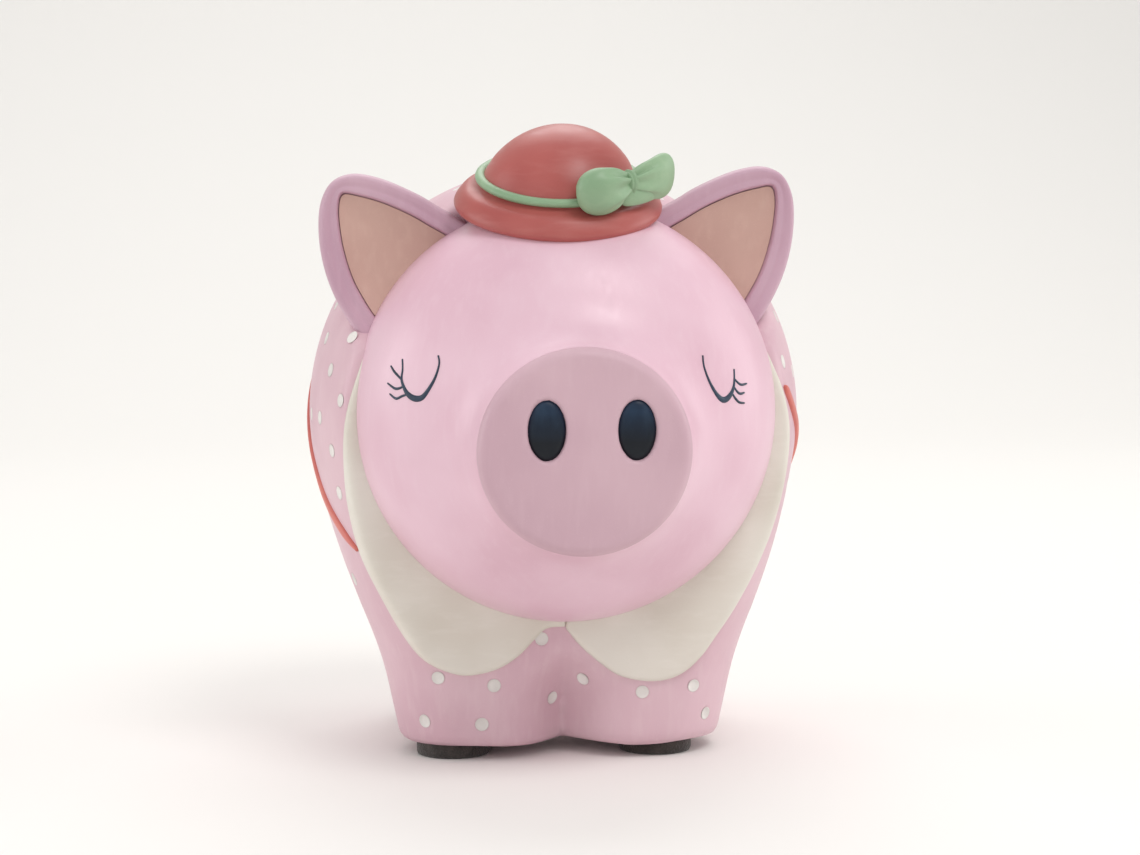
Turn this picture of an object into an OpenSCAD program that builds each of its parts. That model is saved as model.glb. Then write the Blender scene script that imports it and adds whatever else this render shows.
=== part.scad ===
// Painted cast-resin piggy bank: a round pig in a dotted dress, with a collar, a bowler hat
// with a bow, and a small bag on a shoulder strap. It stands on four felt pads and is
// emptied through a rubber stopper in the belly.
// Millimetres. +Z is up, the pig looks along -Y, and the pig's own left side is +X.
// The origin is on the ground, under the middle of the pig.

/* [Body] */
// Height of the body's long axis above the ground
axis_z = 92.5; // [90:0.5:95]
// Largest radius of the body
body_r = 68.3; // [66:0.1:70]
// Where along Y the body is widest
body_mid_y = 9; // [7:0.5:11]
// How far the rump reaches behind the widest point
rump_len = 59; // [57:0.5:61]
// Thickness of the cast wall
wall = 5; // [4:0.5:6]

/* [Head] */
// Radius of the head where it meets the body
head_r = 57.2; // [55:0.1:58]
// How far the middle of the head is above the body's long axis
head_lift = 2.3; // [0:0.1:3]
// Reach of the face in front of the head's widest point, without the snout
face_len = 45; // [43:0.5:47]
// Radius of the snout disc
snout_r = 27.7; // [26:0.1:29]
// Y of the flat end of the snout
snout_y = -77; // [-79:0.5:-75]
// Distance between the centres of the two nostrils
nostril_gap = 23; // [21:0.5:25]

/* [Legs] */
// Radius of a front leg at the hem
front_leg_r = 20.7; // [19:0.1:21]
// Radius of a hind leg at the hem
hind_leg_r = 15.5; // [14.5:0.5:16]
// Diameter of a felt pad
pad_d = 20; // [18:0.5:22]
// Thickness of a felt pad
pad_t = 3; // [2:0.5:4]

/* [Hat] */
// Radius of the brim, to the outside of its rolled edge
brim_r = 27.6; // [26:0.1:29]
// Radius of the crown where the band goes round it
crown_r = 22.3; // [21:0.1:23]
// Height of the crown above the underside of the hat
crown_h = 21.6; // [20:0.1:23]
// Forward tilt of the hat in degrees
hat_tilt = 18; // [14:1:20]

/* [Coin slot] */
// Length of the coin slot, along the back
slot_len = 36; // [32:1:38]
// Width of the coin slot
slot_w = 5; // [4.5:0.1:6]
// Y of the middle of the coin slot
slot_y = 25; // [24:0.5:27]

/* [Stopper] */
// Radius of the round hole in the belly
hole_r = 12.5; // [11.5:0.1:13]
// Y of the middle of the hole
hole_y = 20; // [19.5:0.5:21]
// Radius of the stopper's flange
flange_r = 15; // [14:0.1:15.4]

/* [Trim] */
// Thickness of the collar
collar_t = 2.2; // [1.5:0.1:3]
// Width of the shoulder strap
strap_w = 3.2; // [2.5:0.1:4]
// Length of the bag along the body
bag_w = 28; // [24:1:30]
// Height of the bag
bag_h = 20; // [17:1:22]

/* [Hidden] */
$fn = 96;
far = 200;

// Colours
dress_pink = "#e2b3c2";
skin_pink = "#e3bccb";
snout_pink = "#cfa5b2";
cream = "#ddd8cc";
coral = "#cf736a";
mint = "#9cbf9a";
navy = "#22334a";
beige = "#c0a298";
felt_grey = "#6f6a66";
rubber_white = "#d9d6cf";
gold = "#c9a55a";

// Where the head joins the body, and the lengths of the egg in front of that
seam_y = -30;
chest_len = 79.5;
chest_n = 2;
rump_n = 2.3;
head_mid_y = -22;
head_n = 2.3;
seam_rim = 4;

// Snout and nostrils
snout_z = axis_z - 4.2;
snout_edge_r = 3;
nostril_size = [9.6, 15.6];
nostril_z = snout_z + 5.7;
nostril_x = 1.7;
nostril_deep = 2;
nostril_t = 1.3;
eye_shift = -2;

// Legs: how far each stands out and back, its outward lean, and how it widens upwards
front_leg_x = 21.6;
front_leg_y = -8;
front_leg_lean = 8;
hind_leg_x = 23.5;
hind_leg_y = 41;
hind_leg_lean = 4;
front_leg_l = 58;
front_leg_flare = 4.3;
hind_leg_l = 34;
hind_leg_flare = 3;
foot_cut = 3;
web_x = 15;
web_r = 15.4;
pad_x = [26, -30];
front_pad_y = -15.5;
ear_shift = [-1.2, 0, 1];

// Hat
hat_pos = [-2.6, -26, 150.5];
lip_r = 2.6;
lip_z = 1.2;
band_z = 6.7;
band_r = 1.5;
crown_n = [1.6, 1.75];

// Bow: each piece's angle from the front, distance from the hat's axis, height above the
// hat's underside, and half sizes along, out from and up the crown
knot_ball = [41, crown_r + 2, 12.3, [2.2, 3.4, 3.6]];
inner_ball = [20, crown_r + 1.7, 11.2, [6.8, 4.2, 6.2]];
outer_ball = [62, crown_r + 4.5, 10.8, [6, 3.4, 5.2]];

// Stopper seat in the belly
seat_z = 32;
seat_r = flange_r + 0.6;
boss_r = 18.5;
boss_t = 6;
flange_t = 3;
plug_l = 9;
plug_clear = 0.06;

// The body's surface: radius at y, and the point at angle a from the top
function egg(y, len, n) = body_r * pow(max(0, 1 - pow(abs(y - body_mid_y) / len, n)), 1 / n);
function body_radius(y) = y < body_mid_y ? egg(y, chest_len, chest_n) : egg(y, rump_len, rump_n);
function on_body(a, y, out) = let (r = body_radius(y) + out) [r * sin(a), y, axis_z + r * cos(a)];

// Points along a smooth curve through p, with k steps between neighbours
function spline_at(a, b, c, d, t) =
    (2 * b + (c - a) * t + (2 * a - 5 * b + 4 * c - d) * t * t
    + (3 * b - a - 3 * c + d) * t * t * t) / 2;
function spline(p, k) = let (m = len(p) - 1) [
    for (i = [0:m - 1], j = [0:k - 1])
        spline_at(p[max(0, i - 1)], p[i], p[i + 1], p[min(m, i + 2)], j / k),
    p[m]
];

// A pen stroke along p: a closed outline, widest in the middle and thinner at both ends
function stroke(p, w_end, w_mid) = let (m = len(p) - 1, side = [
    for (i = [0:m])
        let (d = p[min(m, i + 1)] - p[max(0, i - 1)], n = [-d[1], d[0]] / norm(d))
            n * (w_end + (w_mid - w_end) * sin(180 * i / m)) / 2
]) [for (i = [0:m]) p[i] + side[i], for (i = [m:-1:0]) p[i] - side[i]];

// Arc of a circle as points
function arc(c, r, a0, a1, k) = [
    for (i = [0:k]) let (a = a0 + (a1 - a0) * i / k) c + r * [cos(a), sin(a)]
];

// Closed skin over rings of points that all have the same count
module skin(rings) {
    n = len(rings[0]);
    m = len(rings);
    sides = [
        for (i = [0:m - 2], j = [0:n - 1])
            [i * n + j, i * n + (j + 1) % n, (i + 1) * n + (j + 1) % n, (i + 1) * n + j]
    ];
    ends = [[for (j = [n - 1:-1:0]) j], [for (j = [0:n - 1]) (m - 1) * n + j]];
    polyhedron(concat([for (r = rings) each r], []), concat(sides, ends), 10);
}

// Turns a shape whose axis is Z so that it lies along +Y, lift above the body's axis
module along_body(lift = 0) {
    translate([0, 0, axis_z + lift]) rotate([-90, 0, 0]) children();
}

// Extrudes a front view (x, z) from y0 to y1
module front_view(y0, y1) {
    translate([0, y1, 0]) rotate([90, 0, 0]) linear_extrude(y1 - y0) children();
}

// Solid shapes that the pieces are cut from. grow moves the surface outwards.
module body_solid(grow = 0) {
    chest = [for (i = [0:14]) let (y = seam_y + (body_mid_y - seam_y) * i / 14)
        [egg(y, chest_len, chest_n) + grow, y]];
    rump = [for (a = [6:6:90])
        [(body_r + grow) * pow(cos(a), 2 / rump_n),
        body_mid_y + (rump_len + grow) * pow(sin(a), 2 / rump_n)]];
    start = [[0, seam_y - max(grow, 0)], [chest[0][0], seam_y - max(grow, 0)]];
    along_body() rotate_extrude() polygon(concat(start, chest, rump));
}

module head_solid(grow = 0) {
    a0 = asin(pow((head_mid_y - seam_y) / face_len, head_n / 2));
    face = [for (i = [0:16]) let (a = a0 + (90 - a0) * i / 16)
        [(head_r + grow) * pow(cos(a), 2 / head_n),
        head_mid_y - (face_len + grow) * pow(sin(a), 2 / head_n)]];
    along_body(head_lift) rotate_extrude() polygon(concat(face, [[0, seam_y]]));
}

// A leaning cone that is cut level at the ground end
module leg_cone(side, x, y, r, flare, l, lean) {
    intersection() {
        translate([side * x, y, pad_t]) rotate([0, side * lean, 0])
            translate([0, 0, -foot_cut]) cylinder(r1 = r, r2 = r + flare, h = l + foot_cut);
        outer_half(side);
    }
}

// Everything above the pads on one side of the pig
module outer_half(side) {
    translate([side > 0 ? 0 : -far, -far, pad_t]) cube([far, 2 * far, far]);
}

// The two front legs meet in a crease, so each has a web that reaches the middle
module front_leg_solid(side, grow = 0) {
    leg_cone(side, front_leg_x, front_leg_y, front_leg_r + grow, front_leg_flare, front_leg_l,
        front_leg_lean);
    intersection() {
        translate([side * web_x, front_leg_y, 0]) cylinder(r = web_r + grow, h = front_leg_l);
        outer_half(side);
    }
}

// A hind leg ends in a round haunch
module hind_leg_solid(side) {
    leg_cone(side, hind_leg_x, hind_leg_y, hind_leg_r, hind_leg_flare, hind_leg_l, hind_leg_lean);
    translate([side * hind_leg_x, hind_leg_y, pad_t]) rotate([0, side * hind_leg_lean, 0])
        translate([0, 0, hind_leg_l]) sphere(r = hind_leg_r + hind_leg_flare);
}

module on_hat() {
    translate(hat_pos) rotate([hat_tilt, 0, 0]) children();
}

module hat_solid() {
    lip = arc([brim_r - lip_r, lip_z], lip_r, -90, 80, 8);
    crown = [for (a = [0:10:90])
        [crown_r * pow(cos(a), 2 / crown_n[0]),
        band_z + (crown_h - band_z) * pow(sin(a), 2 / crown_n[1])]];
    on_hat() rotate_extrude() polygon(concat([[0, lip_z - lip_r]], lip, crown));
}

// Body and head: one hollow casting, split here at the seam under the collar
module body_shell() {
    color(dress_pink) difference() {
        union() {
            difference() {
                body_solid();
                body_cavity();
            }
            intersection() {
                body_solid();
                translate([0, hole_y, 0]) cylinder(r = boss_r, h = seat_z + boss_t);
            }
        }
        translate([0, hole_y, 0]) cylinder(r = seat_r, h = seat_z);
        translate([0, hole_y, 0]) cylinder(r = hole_r, h = axis_z);
        coin_slot();
    }
}

// The hollow stops short of the seam, where a rim as wide as the head's own edge is left
module body_cavity() {
    y0 = seam_y + seam_rim;
    chest = [for (i = [0:10]) let (y = y0 + (body_mid_y - y0) * i / 10)
        [egg(y, chest_len, chest_n) - wall, y]];
    rump = [for (a = [9:9:90])
        [(body_r - wall) * pow(cos(a), 2 / rump_n),
        body_mid_y + (rump_len - wall) * pow(sin(a), 2 / rump_n)]];
    along_body() rotate_extrude() polygon(concat([[0, y0]], chest, rump));
    depth = (head_mid_y - seam_y) / (face_len - wall);
    mouth_r = (head_r - wall) * pow(1 - pow(depth, head_n), 1 / head_n);
    along_body(head_lift) translate([0, 0, seam_y - 1]) cylinder(r = mouth_r, h = seam_rim + 2);
}

module coin_slot() {
    end_y = slot_len / 2 - slot_w / 2;
    translate([0, slot_y, axis_z]) {
        translate([-slot_w / 2, -end_y, 0]) cube([slot_w, 2 * end_y, far]);
        for (s = [-1, 1]) translate([0, s * end_y, 0]) cylinder(d = slot_w, h = far);
    }
}

module head_shell() {
    color(skin_pink) difference() {
        head_solid();
        head_cavity();
    }
}

module head_cavity() {
    a0 = asin(pow((head_mid_y - seam_y) / (face_len - wall), head_n / 2));
    face = [for (i = [0:10]) let (a = a0 + (90 - a0) * i / 10)
        [(head_r - wall) * pow(cos(a), 2 / head_n),
        head_mid_y - (face_len - wall) * pow(sin(a), 2 / head_n)]];
    mouth = [[0, seam_y + 1], [face[0][0], seam_y + 1]];
    along_body(head_lift) rotate_extrude() polygon(concat(mouth, face));
}

// Snout and nostrils
module snout() {
    depth = seam_y - snout_y;
    edge = arc([snout_r - snout_edge_r, depth - snout_edge_r], snout_edge_r, 0, 90, 6);
    color(snout_pink) difference() {
        translate([0, seam_y, snout_z]) rotate([90, 0, 0]) rotate_extrude()
            polygon(concat([[0, 0], [snout_r + 1, 0]], edge, [[0, depth]]));
        head_solid();
        for (s = [-1, 1]) nostril_solid(s, snout_y - 1, snout_y + nostril_deep);
    }
}

module nostril_solid(side, y0, y1) {
    oval = [for (a = [0:15:345]) [nostril_size[0] * cos(a), nostril_size[1] * sin(a)] / 2];
    translate([nostril_x + side * nostril_gap / 2, 0, nostril_z]) front_view(y0, y1) polygon(oval);
}

module nostril(side) {
    color(navy) nostril_solid(side, snout_y + nostril_deep - nostril_t, snout_y + nostril_deep);
}

// Closed eye: a lid line like a U, and three lashes at its outer corner. The left eye sits a
// little nearer the middle.
module eye(side) {
    lid = spline([[35, 112], [36.3, 106.5], [39.8, 101.3], [43.5, 103.5], [44.6, 110.5]], 4);
    lashes = [
        [[44.6, 106], [46.6, 106.4], [48.6, 108.8]],
        [[44.2, 104.6], [46.6, 103.7], [48.9, 104.2]],
        [[43.2, 102.8], [45.4, 101.5], [48.2, 101.7]]
    ];
    color(navy) intersection() {
        front_view(-far, seam_y) translate([side > 0 ? eye_shift : 0, 0]) scale([side, 1]) {
            polygon(stroke(lid, 0.7, 2));
            for (l = lashes) polygon(stroke(spline(l, 3), 0.6, 1.3));
        }
        difference() {
            head_solid(0.5);
            head_solid();
        }
    }
}

// Ear: a thick rolled rim round a flat triangular lining
module ear_blank(side) {
    knots = [[58.3, -22, 153], [59, -21, 140], [48, -19, 116], [28, -20, 141]];
    translate([ear_shift[0], 0, side * ear_shift[2]]) hull() for (p = knots)
        translate([side * p[0], p[1], p[2]]) scale([1, 0.75, 1]) sphere(r = 5.6, $fn = 32);
}

module ear_recess(side, y0, y1) {
    edge = spline([[29, 143.3], [44, 149.6], [59.4, 154], [57.8, 139], [48.5, 121]], 4);
    translate([ear_shift[0], 0, side * ear_shift[2]]) front_view(y0, y1) scale([side, 1])
        polygon(concat(edge, [[34, 126]]));
}

module ear(side) {
    color(skin_pink) difference() {
        ear_blank(side);
        ear_recess(side, -far, -23);
        head_solid();
        body_solid();
        hat_solid();
    }
}

module ear_lining(side) {
    color(beige) difference() {
        intersection() {
            ear_blank(side);
            ear_recess(side, -24.4, -23);
        }
        head_solid();
        body_solid();
        hat_solid();
    }
}

// Legs and their felt pads
module leg_front(side) {
    trimmed_leg() front_leg_solid(side);
}

module leg_hind(side) {
    trimmed_leg() hind_leg_solid(side);
}

module trimmed_leg() {
    color(dress_pink) difference() {
        union() children();
        body_solid();
        head_solid();
        translate([0, hole_y, 0]) cylinder(r = seat_r, h = seat_z);
    }
}

module pad(side, y) {
    x = side > 0 ? pad_x[0] : pad_x[1];
    color(felt_grey) translate([x, y, 0]) cylinder(d = pad_d, h = pad_t);
}

// One lobe of the collar, lying on the body and the tops of the front legs
module collar(side) {
    edge = spline([
        [0, 37.5], [10, 27.5], [24, 21.5], [37, 27.5], [47, 41], [56.5, 58.5], [60.6, 79],
        [60, 93], [56.5, 106], [53, 113]
    ], 3);
    color(cream) difference() {
        intersection() {
            union() {
                body_solid(collar_t);
                front_leg_solid(side, collar_t);
            }
            front_view(-far, body_mid_y - 12) scale([side, 1])
                polygon(concat(edge, [[0, 113]]));
        }
        body_solid();
        head_solid();
        front_leg_solid(side);
        translate([-far, -far, 0]) cube([2 * far, far + seam_y - collar_t, far]);
    }
}

// Hat, its cord band and the bow
module hat() {
    color(coral) difference() {
        hat_solid();
        head_solid();
        body_solid();
        band_ring();
    }
}

module band_ring() {
    on_hat() translate([0, 0, band_z]) rotate_extrude() translate([crown_r, 0]) circle(r = band_r);
}

module hat_band() {
    color(mint) difference() {
        band_ring();
        body_solid();
    }
}

// A bow loop is a cushion that narrows to the knot
module bow_loop(ball) {
    color(mint) on_hat() hull() {
        bow_ball([knot_ball[0], knot_ball[1], knot_ball[2], [1.6, 1.6, 2.4]]);
        bow_ball(ball);
    }
}

module bow_ball(ball) {
    rotate([0, 0, ball[0] - 90]) translate([ball[1], 0, ball[2]]) rotate([0, 0, 90])
        scale(ball[3]) sphere(r = 1, $fn = 32);
}

module bow_knot() {
    color(mint) on_hat() bow_ball(knot_ball);
}

// Strap: a flat band laid along the body. p holds [angle from the top, y] pairs.
module band_on_body(p) {
    path = spline(p, 6);
    m = len(path) - 1;
    pts = [for (q = path) on_body(q[0], q[1], 0)];
    skin([for (i = [0:m])
        let (
            run = pts[min(m, i + 1)] - pts[max(0, i - 1)],
            out = on_body(path[i][0], path[i][1], 1) - pts[i],
            aside = cross(run, out) / norm(cross(run, out)) * strap_w / 2
        )
        [pts[i] - aside - 0.5 * out, pts[i] + aside - 0.5 * out,
        pts[i] + aside + 0.9 * out, pts[i] - aside + 0.9 * out]
    ]);
}

bag_at = [122, 32];

module bag_strap() {
    color(coral) {
        band_on_body([[82, -27], [88, -21], [95, -9], [101, 2], [107, 10], [114, 21]]);
        band_on_body([[-121, -22], [-115, -13], [-107, -1], [-98, 10], [-90, 18], [-76, 29],
            [-52, 41], [-22, 49], [10, 52], [50, 49], [85, 44], [109, 39]]);
    }
}

// Bag frame: X along the body, Y up the body's side, Z outwards
module on_bag() {
    p = on_body(bag_at[0], bag_at[1], 0);
    translate(p) rotate([0, bag_at[0], 0]) rotate([0, 0, 90]) rotate([-14, 0, 0]) children();
}

module rounded_plate(w, h, r, t) {
    linear_extrude(t) offset(r) square([w - 2 * r, h - 2 * r], center = true);
}

module bag_body() {
    color(coral) difference() {
        on_bag() translate([0, 0, -3]) rounded_plate(bag_w, bag_h, 5, 8);
        body_solid();
        hind_leg_solid(1);
    }
}

module bag_flap() {
    color(coral) on_bag() translate([0, 0, 5]) difference() {
        rounded_plate(bag_w, bag_h, 5, 1.4);
        translate([-bag_w, -bag_h, -1]) cube([2 * bag_w, bag_h - 1, 4]);
    }
}

module bag_clasp() {
    color(gold) on_bag() translate([0, 0, 6.4]) cylinder(r = 2, h = 1);
}

// Round tube along p that tapers from radius r0 to r1
module tube(p, r0, r1) {
    m = len(p) - 1;
    dir = [for (i = [0:m]) let (d = p[min(m, i + 1)] - p[max(0, i - 1)]) d / norm(d)];
    across = [
        for (i = 0, n = cross(dir[0], [1, 0, 0]); i <= m;
            i = i + 1, n = square_to(n, dir[min(m, i)])) n
    ];
    skin([for (i = [0:m]) [for (a = [0:36:324])
        p[i] + (r0 + (r1 - r0) * i / m) * (cos(a) * across[i] + sin(a) * cross(dir[i], across[i]))
    ]]);
}

// The part of n that is square to d, at length 1
function square_to(n, d) = let (v = n - (n * d) * d) v / norm(v);

// Curly tail: one loose turn that tapers to its tip
module tail() {
    root = [0, body_mid_y + rump_len, axis_z + 10];
    curl = [[0, -3, 0], [0, 1, 0.5], [4, 4, 3], [5, 5.5, 8.5], [0, 6.5, 11.5], [-4.8, 7.2, 8.5],
        [-3.5, 7.8, 3.6], [0.6, 8.2, 2.6]];
    color(skin_pink) difference() {
        tube(spline([for (c = curl) root + c], 4), 2.5, 1.3);
        body_solid();
    }
}

// Rubber stopper: a flange with a finger recess, and a plug with a chamfered end
module stopper() {
    r = hole_r - plug_clear;
    color(rubber_white) translate([0, hole_y, seat_z]) rotate_extrude() polygon([
        [0, -flange_t + 1.4], [flange_r - 5, -flange_t + 1.4], [flange_r - 4, -flange_t],
        [flange_r - 0.6, -flange_t], [flange_r, -flange_t + 0.6], [flange_r, 0], [r, 0],
        [r, plug_l - 1.5], [r - 1.5, plug_l], [0, plug_l]
    ]);
}

body_shell();
head_shell();
snout();
nostril(1);  // nostril_left
nostril(-1);  // nostril_right
eye(1);  // eye_left
eye(-1);  // eye_right
ear(1);  // ear_left
ear(-1);  // ear_right
ear_lining(1);  // ear_lining_left
ear_lining(-1);  // ear_lining_right
leg_front(1);  // leg_front_left
leg_front(-1);  // leg_front_right
leg_hind(1);  // leg_hind_left
leg_hind(-1);  // leg_hind_right
pad(1, front_pad_y);  // pad_front_left
pad(-1, front_pad_y);  // pad_front_right
pad(1, hind_leg_y);  // pad_hind_left
pad(-1, hind_leg_y);  // pad_hind_right
collar(1);  // collar_left
collar(-1);  // collar_right
hat();
hat_band();
bow_loop(inner_ball);  // bow_loop_inner
bow_loop(outer_ball);  // bow_loop_outer
bow_knot();
bag_strap();
bag_body();
bag_flap();
bag_clasp();
tail();
stopper();
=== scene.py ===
import math

import bmesh
import bpy
import numpy as np
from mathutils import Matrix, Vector
from mathutils.kdtree import KDTree


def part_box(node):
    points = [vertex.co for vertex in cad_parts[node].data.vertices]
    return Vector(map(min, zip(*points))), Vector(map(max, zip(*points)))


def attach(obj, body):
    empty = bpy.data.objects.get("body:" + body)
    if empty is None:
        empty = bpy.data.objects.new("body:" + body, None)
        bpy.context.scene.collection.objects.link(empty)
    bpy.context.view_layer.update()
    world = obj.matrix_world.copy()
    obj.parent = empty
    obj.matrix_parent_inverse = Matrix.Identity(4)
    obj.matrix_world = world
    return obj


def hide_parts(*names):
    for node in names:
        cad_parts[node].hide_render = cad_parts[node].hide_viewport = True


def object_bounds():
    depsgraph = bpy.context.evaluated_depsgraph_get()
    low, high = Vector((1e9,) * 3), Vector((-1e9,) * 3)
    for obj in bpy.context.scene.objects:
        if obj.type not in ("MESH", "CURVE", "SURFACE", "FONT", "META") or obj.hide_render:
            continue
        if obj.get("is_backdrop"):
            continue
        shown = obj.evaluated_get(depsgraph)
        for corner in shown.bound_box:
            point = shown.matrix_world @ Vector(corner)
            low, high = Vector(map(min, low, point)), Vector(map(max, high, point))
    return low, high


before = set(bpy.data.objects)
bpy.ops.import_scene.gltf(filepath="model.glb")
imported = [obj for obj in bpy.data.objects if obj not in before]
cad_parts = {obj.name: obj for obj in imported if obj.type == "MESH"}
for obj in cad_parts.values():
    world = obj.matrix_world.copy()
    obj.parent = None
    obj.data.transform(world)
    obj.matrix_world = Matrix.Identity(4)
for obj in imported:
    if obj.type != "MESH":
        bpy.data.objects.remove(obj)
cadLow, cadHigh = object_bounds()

# Sizes are in millimetres; a mesh is scaled to metres when it is made.
# +Z is up, the pig looks along -Y, and its own left side is +X.
mm = 0.001


def nodeBox(node):
    low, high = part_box(node)
    return np.array(low) / mm, np.array(high) / mm


def nodeCentre(node):
    low, high = nodeBox(node)
    return (low + high) / 2


bodyLow, bodyHigh = nodeBox("body_shell")
axisZ = (bodyLow[2] + bodyHigh[2]) / 2      # height of the long axis through body and head
seamY = bodyLow[1]                          # where the head meets the body
headZ = nodeCentre("head_shell")[2]
snoutY = nodeBox("snout")[0][1]             # flat end of the snout
stopperAt = nodeCentre("stopper")


# A field gives each point's distance to a surface, below zero inside.

def smoothMin(a, b, k):
    h = np.clip(0.5 + 0.5 * (b - a) / k, 0, 1)
    return b + (a - b) * h - k * h * (1 - h)


def smoothMax(a, b, k):
    return -smoothMin(-a, -b, k)


def eggField(p, radius, midY, midZ, front, back):
    # front and back are (length, power) of the two halves of the egg
    y = p[..., 1] - midY
    rho = np.hypot(p[..., 0], p[..., 2] - midZ)
    length = np.where(y < 0, front[0], back[0])
    power = np.where(y < 0, front[1], back[1])
    u = np.abs(y) / length + 1e-6
    v = rho / radius + 1e-6
    s = u ** power + v ** power
    slope = s ** (1 / power - 1) * np.hypot(u ** (power - 1) / length, v ** (power - 1) / radius)
    return (s ** (1 / power) - 1) / slope


def coneField(p, foot, lean, radius, flare, height, fade):
    # upright cone that widens upwards and leans outwards, away from x = 0
    side = math.copysign(1, foot[0])
    a = math.radians(lean) * side
    x = p[..., 0] - foot[0]
    z = p[..., 2] - foot[2]
    along = x * math.sin(a) + z * math.cos(a)
    across = x * math.cos(a) - z * math.sin(a)
    reach = np.hypot(across, p[..., 1] - foot[1]) - radius - flare * along / height
    return smoothMax(reach, along - height, fade)


def polygonField(a, b, outline):
    # distance to a closed outline in a flat view
    best = np.full(a.shape, 1e9)
    inside = np.zeros(a.shape, bool)
    for (x0, y0), (x1, y1) in zip(outline, np.roll(outline, -1, axis=0)):
        dx, dy = x1 - x0, y1 - y0
        t = np.clip(((a - x0) * dx + (b - y0) * dy) / (dx * dx + dy * dy + 1e-12), 0, 1)
        best = np.minimum(best, (a - x0 - t * dx) ** 2 + (b - y0 - t * dy) ** 2)
        crosses = (y0 > b) != (y1 > b)
        with np.errstate(divide="ignore", invalid="ignore"):
            inside ^= crosses & (a < (b - y0) * dx / dy + x0)
    return np.where(inside, -1, 1) * np.sqrt(best)


def slopeOf(field, p, h=0.2):
    g = np.empty_like(p)
    for i in range(3):
        step = np.zeros(3)
        step[i] = h
        g[:, i] = (field(p + step) - field(p - step)) / (2 * h)
    return g


def pullOnto(field, p, rounds=3, most=1.0):
    for _ in range(rounds):
        g = slopeOf(field, p)
        move = g * (field(p) / np.maximum((g * g).sum(1), 1e-3))[:, None]
        size = np.linalg.norm(move, axis=1)
        p = p - move * np.minimum(1, most / np.maximum(size, 1e-9))[:, None]
    return p


def unit(v):
    return v / np.maximum(np.linalg.norm(v, axis=-1, keepdims=True), 1e-9)


cubeCorners = [(i, j, k) for i in (0, 1) for j in (0, 1) for k in (0, 1)]
cubeEdges = [(a, b) for a in cubeCorners for b in cubeCorners
             if a < b and sum(abs(m - n) for m, n in zip(a, b)) == 1]


def netSurface(field, low, high, step):
    # quads where the field changes sign: one point in each cell that the surface crosses
    axes = [np.arange(low[i], high[i] + step, step) for i in range(3)]
    f = field(np.stack(np.meshgrid(*axes, indexing="ij"), -1))
    inside = f < 0
    cells = tuple(n - 1 for n in f.shape)

    def corner(values, c):
        return values[c[0]:c[0] + cells[0], c[1]:c[1] + cells[1], c[2]:c[2] + cells[2]]

    count = sum(corner(inside, c).astype(np.int8) for c in cubeCorners)
    active = (count > 0) & (count < 8)
    index = np.full(cells, -1)
    index[active] = np.arange(active.sum())
    at = np.argwhere(active).astype(float)
    total = np.zeros((len(at), 3))
    hits = np.zeros(len(at))
    for c0, c1 in cubeEdges:
        f0, f1 = corner(f, c0)[active], corner(f, c1)[active]
        cross = (f0 < 0) != (f1 < 0)
        t = np.where(cross, f0 / np.where(cross, f0 - f1, 1), 0)[:, None]
        total += cross[:, None] * (np.array(c0) + t * (np.array(c1) - np.array(c0)))
        hits += cross
    verts = np.array(low) + step * (at + total / hits[:, None])
    quads = []
    for d in range(3):
        e, g = (d + 1) % 3, (d + 2) % 3
        lower = [slice(None)] * 3
        upper = [slice(None)] * 3
        lower[d], upper[d] = slice(0, -1), slice(1, None)
        a, b = inside[tuple(lower)], inside[tuple(upper)]
        for change, order in ((a & ~b, (0, 1, 2, 3)), (~a & b, (3, 2, 1, 0))):
            where = np.argwhere(change)
            where = where[(where[:, e] > 0) & (where[:, g] > 0)
                          & (where[:, e] < cells[e]) & (where[:, g] < cells[g])]
            ring = []
            for back in ((1, 1), (0, 1), (0, 0), (1, 0)):
                w = where.copy()
                w[:, e] -= back[0]
                w[:, g] -= back[1]
                ring.append(index[w[:, 0], w[:, 1], w[:, 2]])
            quads.append(np.stack([ring[o] for o in order], 1))
    return verts, np.concatenate(quads)


def newPiece(name, verts, faces, smooth=True):
    mesh = bpy.data.meshes.new(name)
    mesh.from_pydata((np.asarray(verts, float) * mm).tolist(), [],
                     faces.tolist() if hasattr(faces, "tolist") else faces)
    mesh.validate()
    if smooth:
        mesh.shade_smooth()
    piece = bpy.data.objects.new(name, mesh)
    bpy.context.scene.collection.objects.link(piece)
    return piece


def fieldPiece(name, field, low, high, step):
    verts, faces = netSurface(field, low, high, step)
    return newPiece(name, pullOnto(field, verts, most=step * 0.6), faces)


def fixNormals(piece):
    bm = bmesh.new()
    bm.from_mesh(piece.data)
    bmesh.ops.remove_doubles(bm, verts=bm.verts, dist=0.00001)
    bmesh.ops.recalc_face_normals(bm, faces=bm.faces)
    bm.to_mesh(piece.data)
    bm.free()
    piece.data.shade_smooth()
    return piece


def loftPiece(name, rings, closed=True):
    # rings all have the same count; the two ends are closed by a fan round their middle
    rings = [np.asarray(r, float) for r in rings]
    n = len(rings[0])
    verts = list(np.concatenate(rings))
    faces = []
    for i in range(len(rings) - 1):
        for j in range(n):
            k = (j + 1) % n
            faces.append([i * n + j, i * n + k, (i + 1) * n + k, (i + 1) * n + j])
    if closed:
        for ring, start in ((rings[0], 0), (rings[-1], (len(rings) - 1) * n)):
            verts.append(ring.mean(0))
            faces += [[len(verts) - 1, start + j, start + (j + 1) % n] for j in range(n)]
    return fixNormals(newPiece(name, verts, faces))


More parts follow.
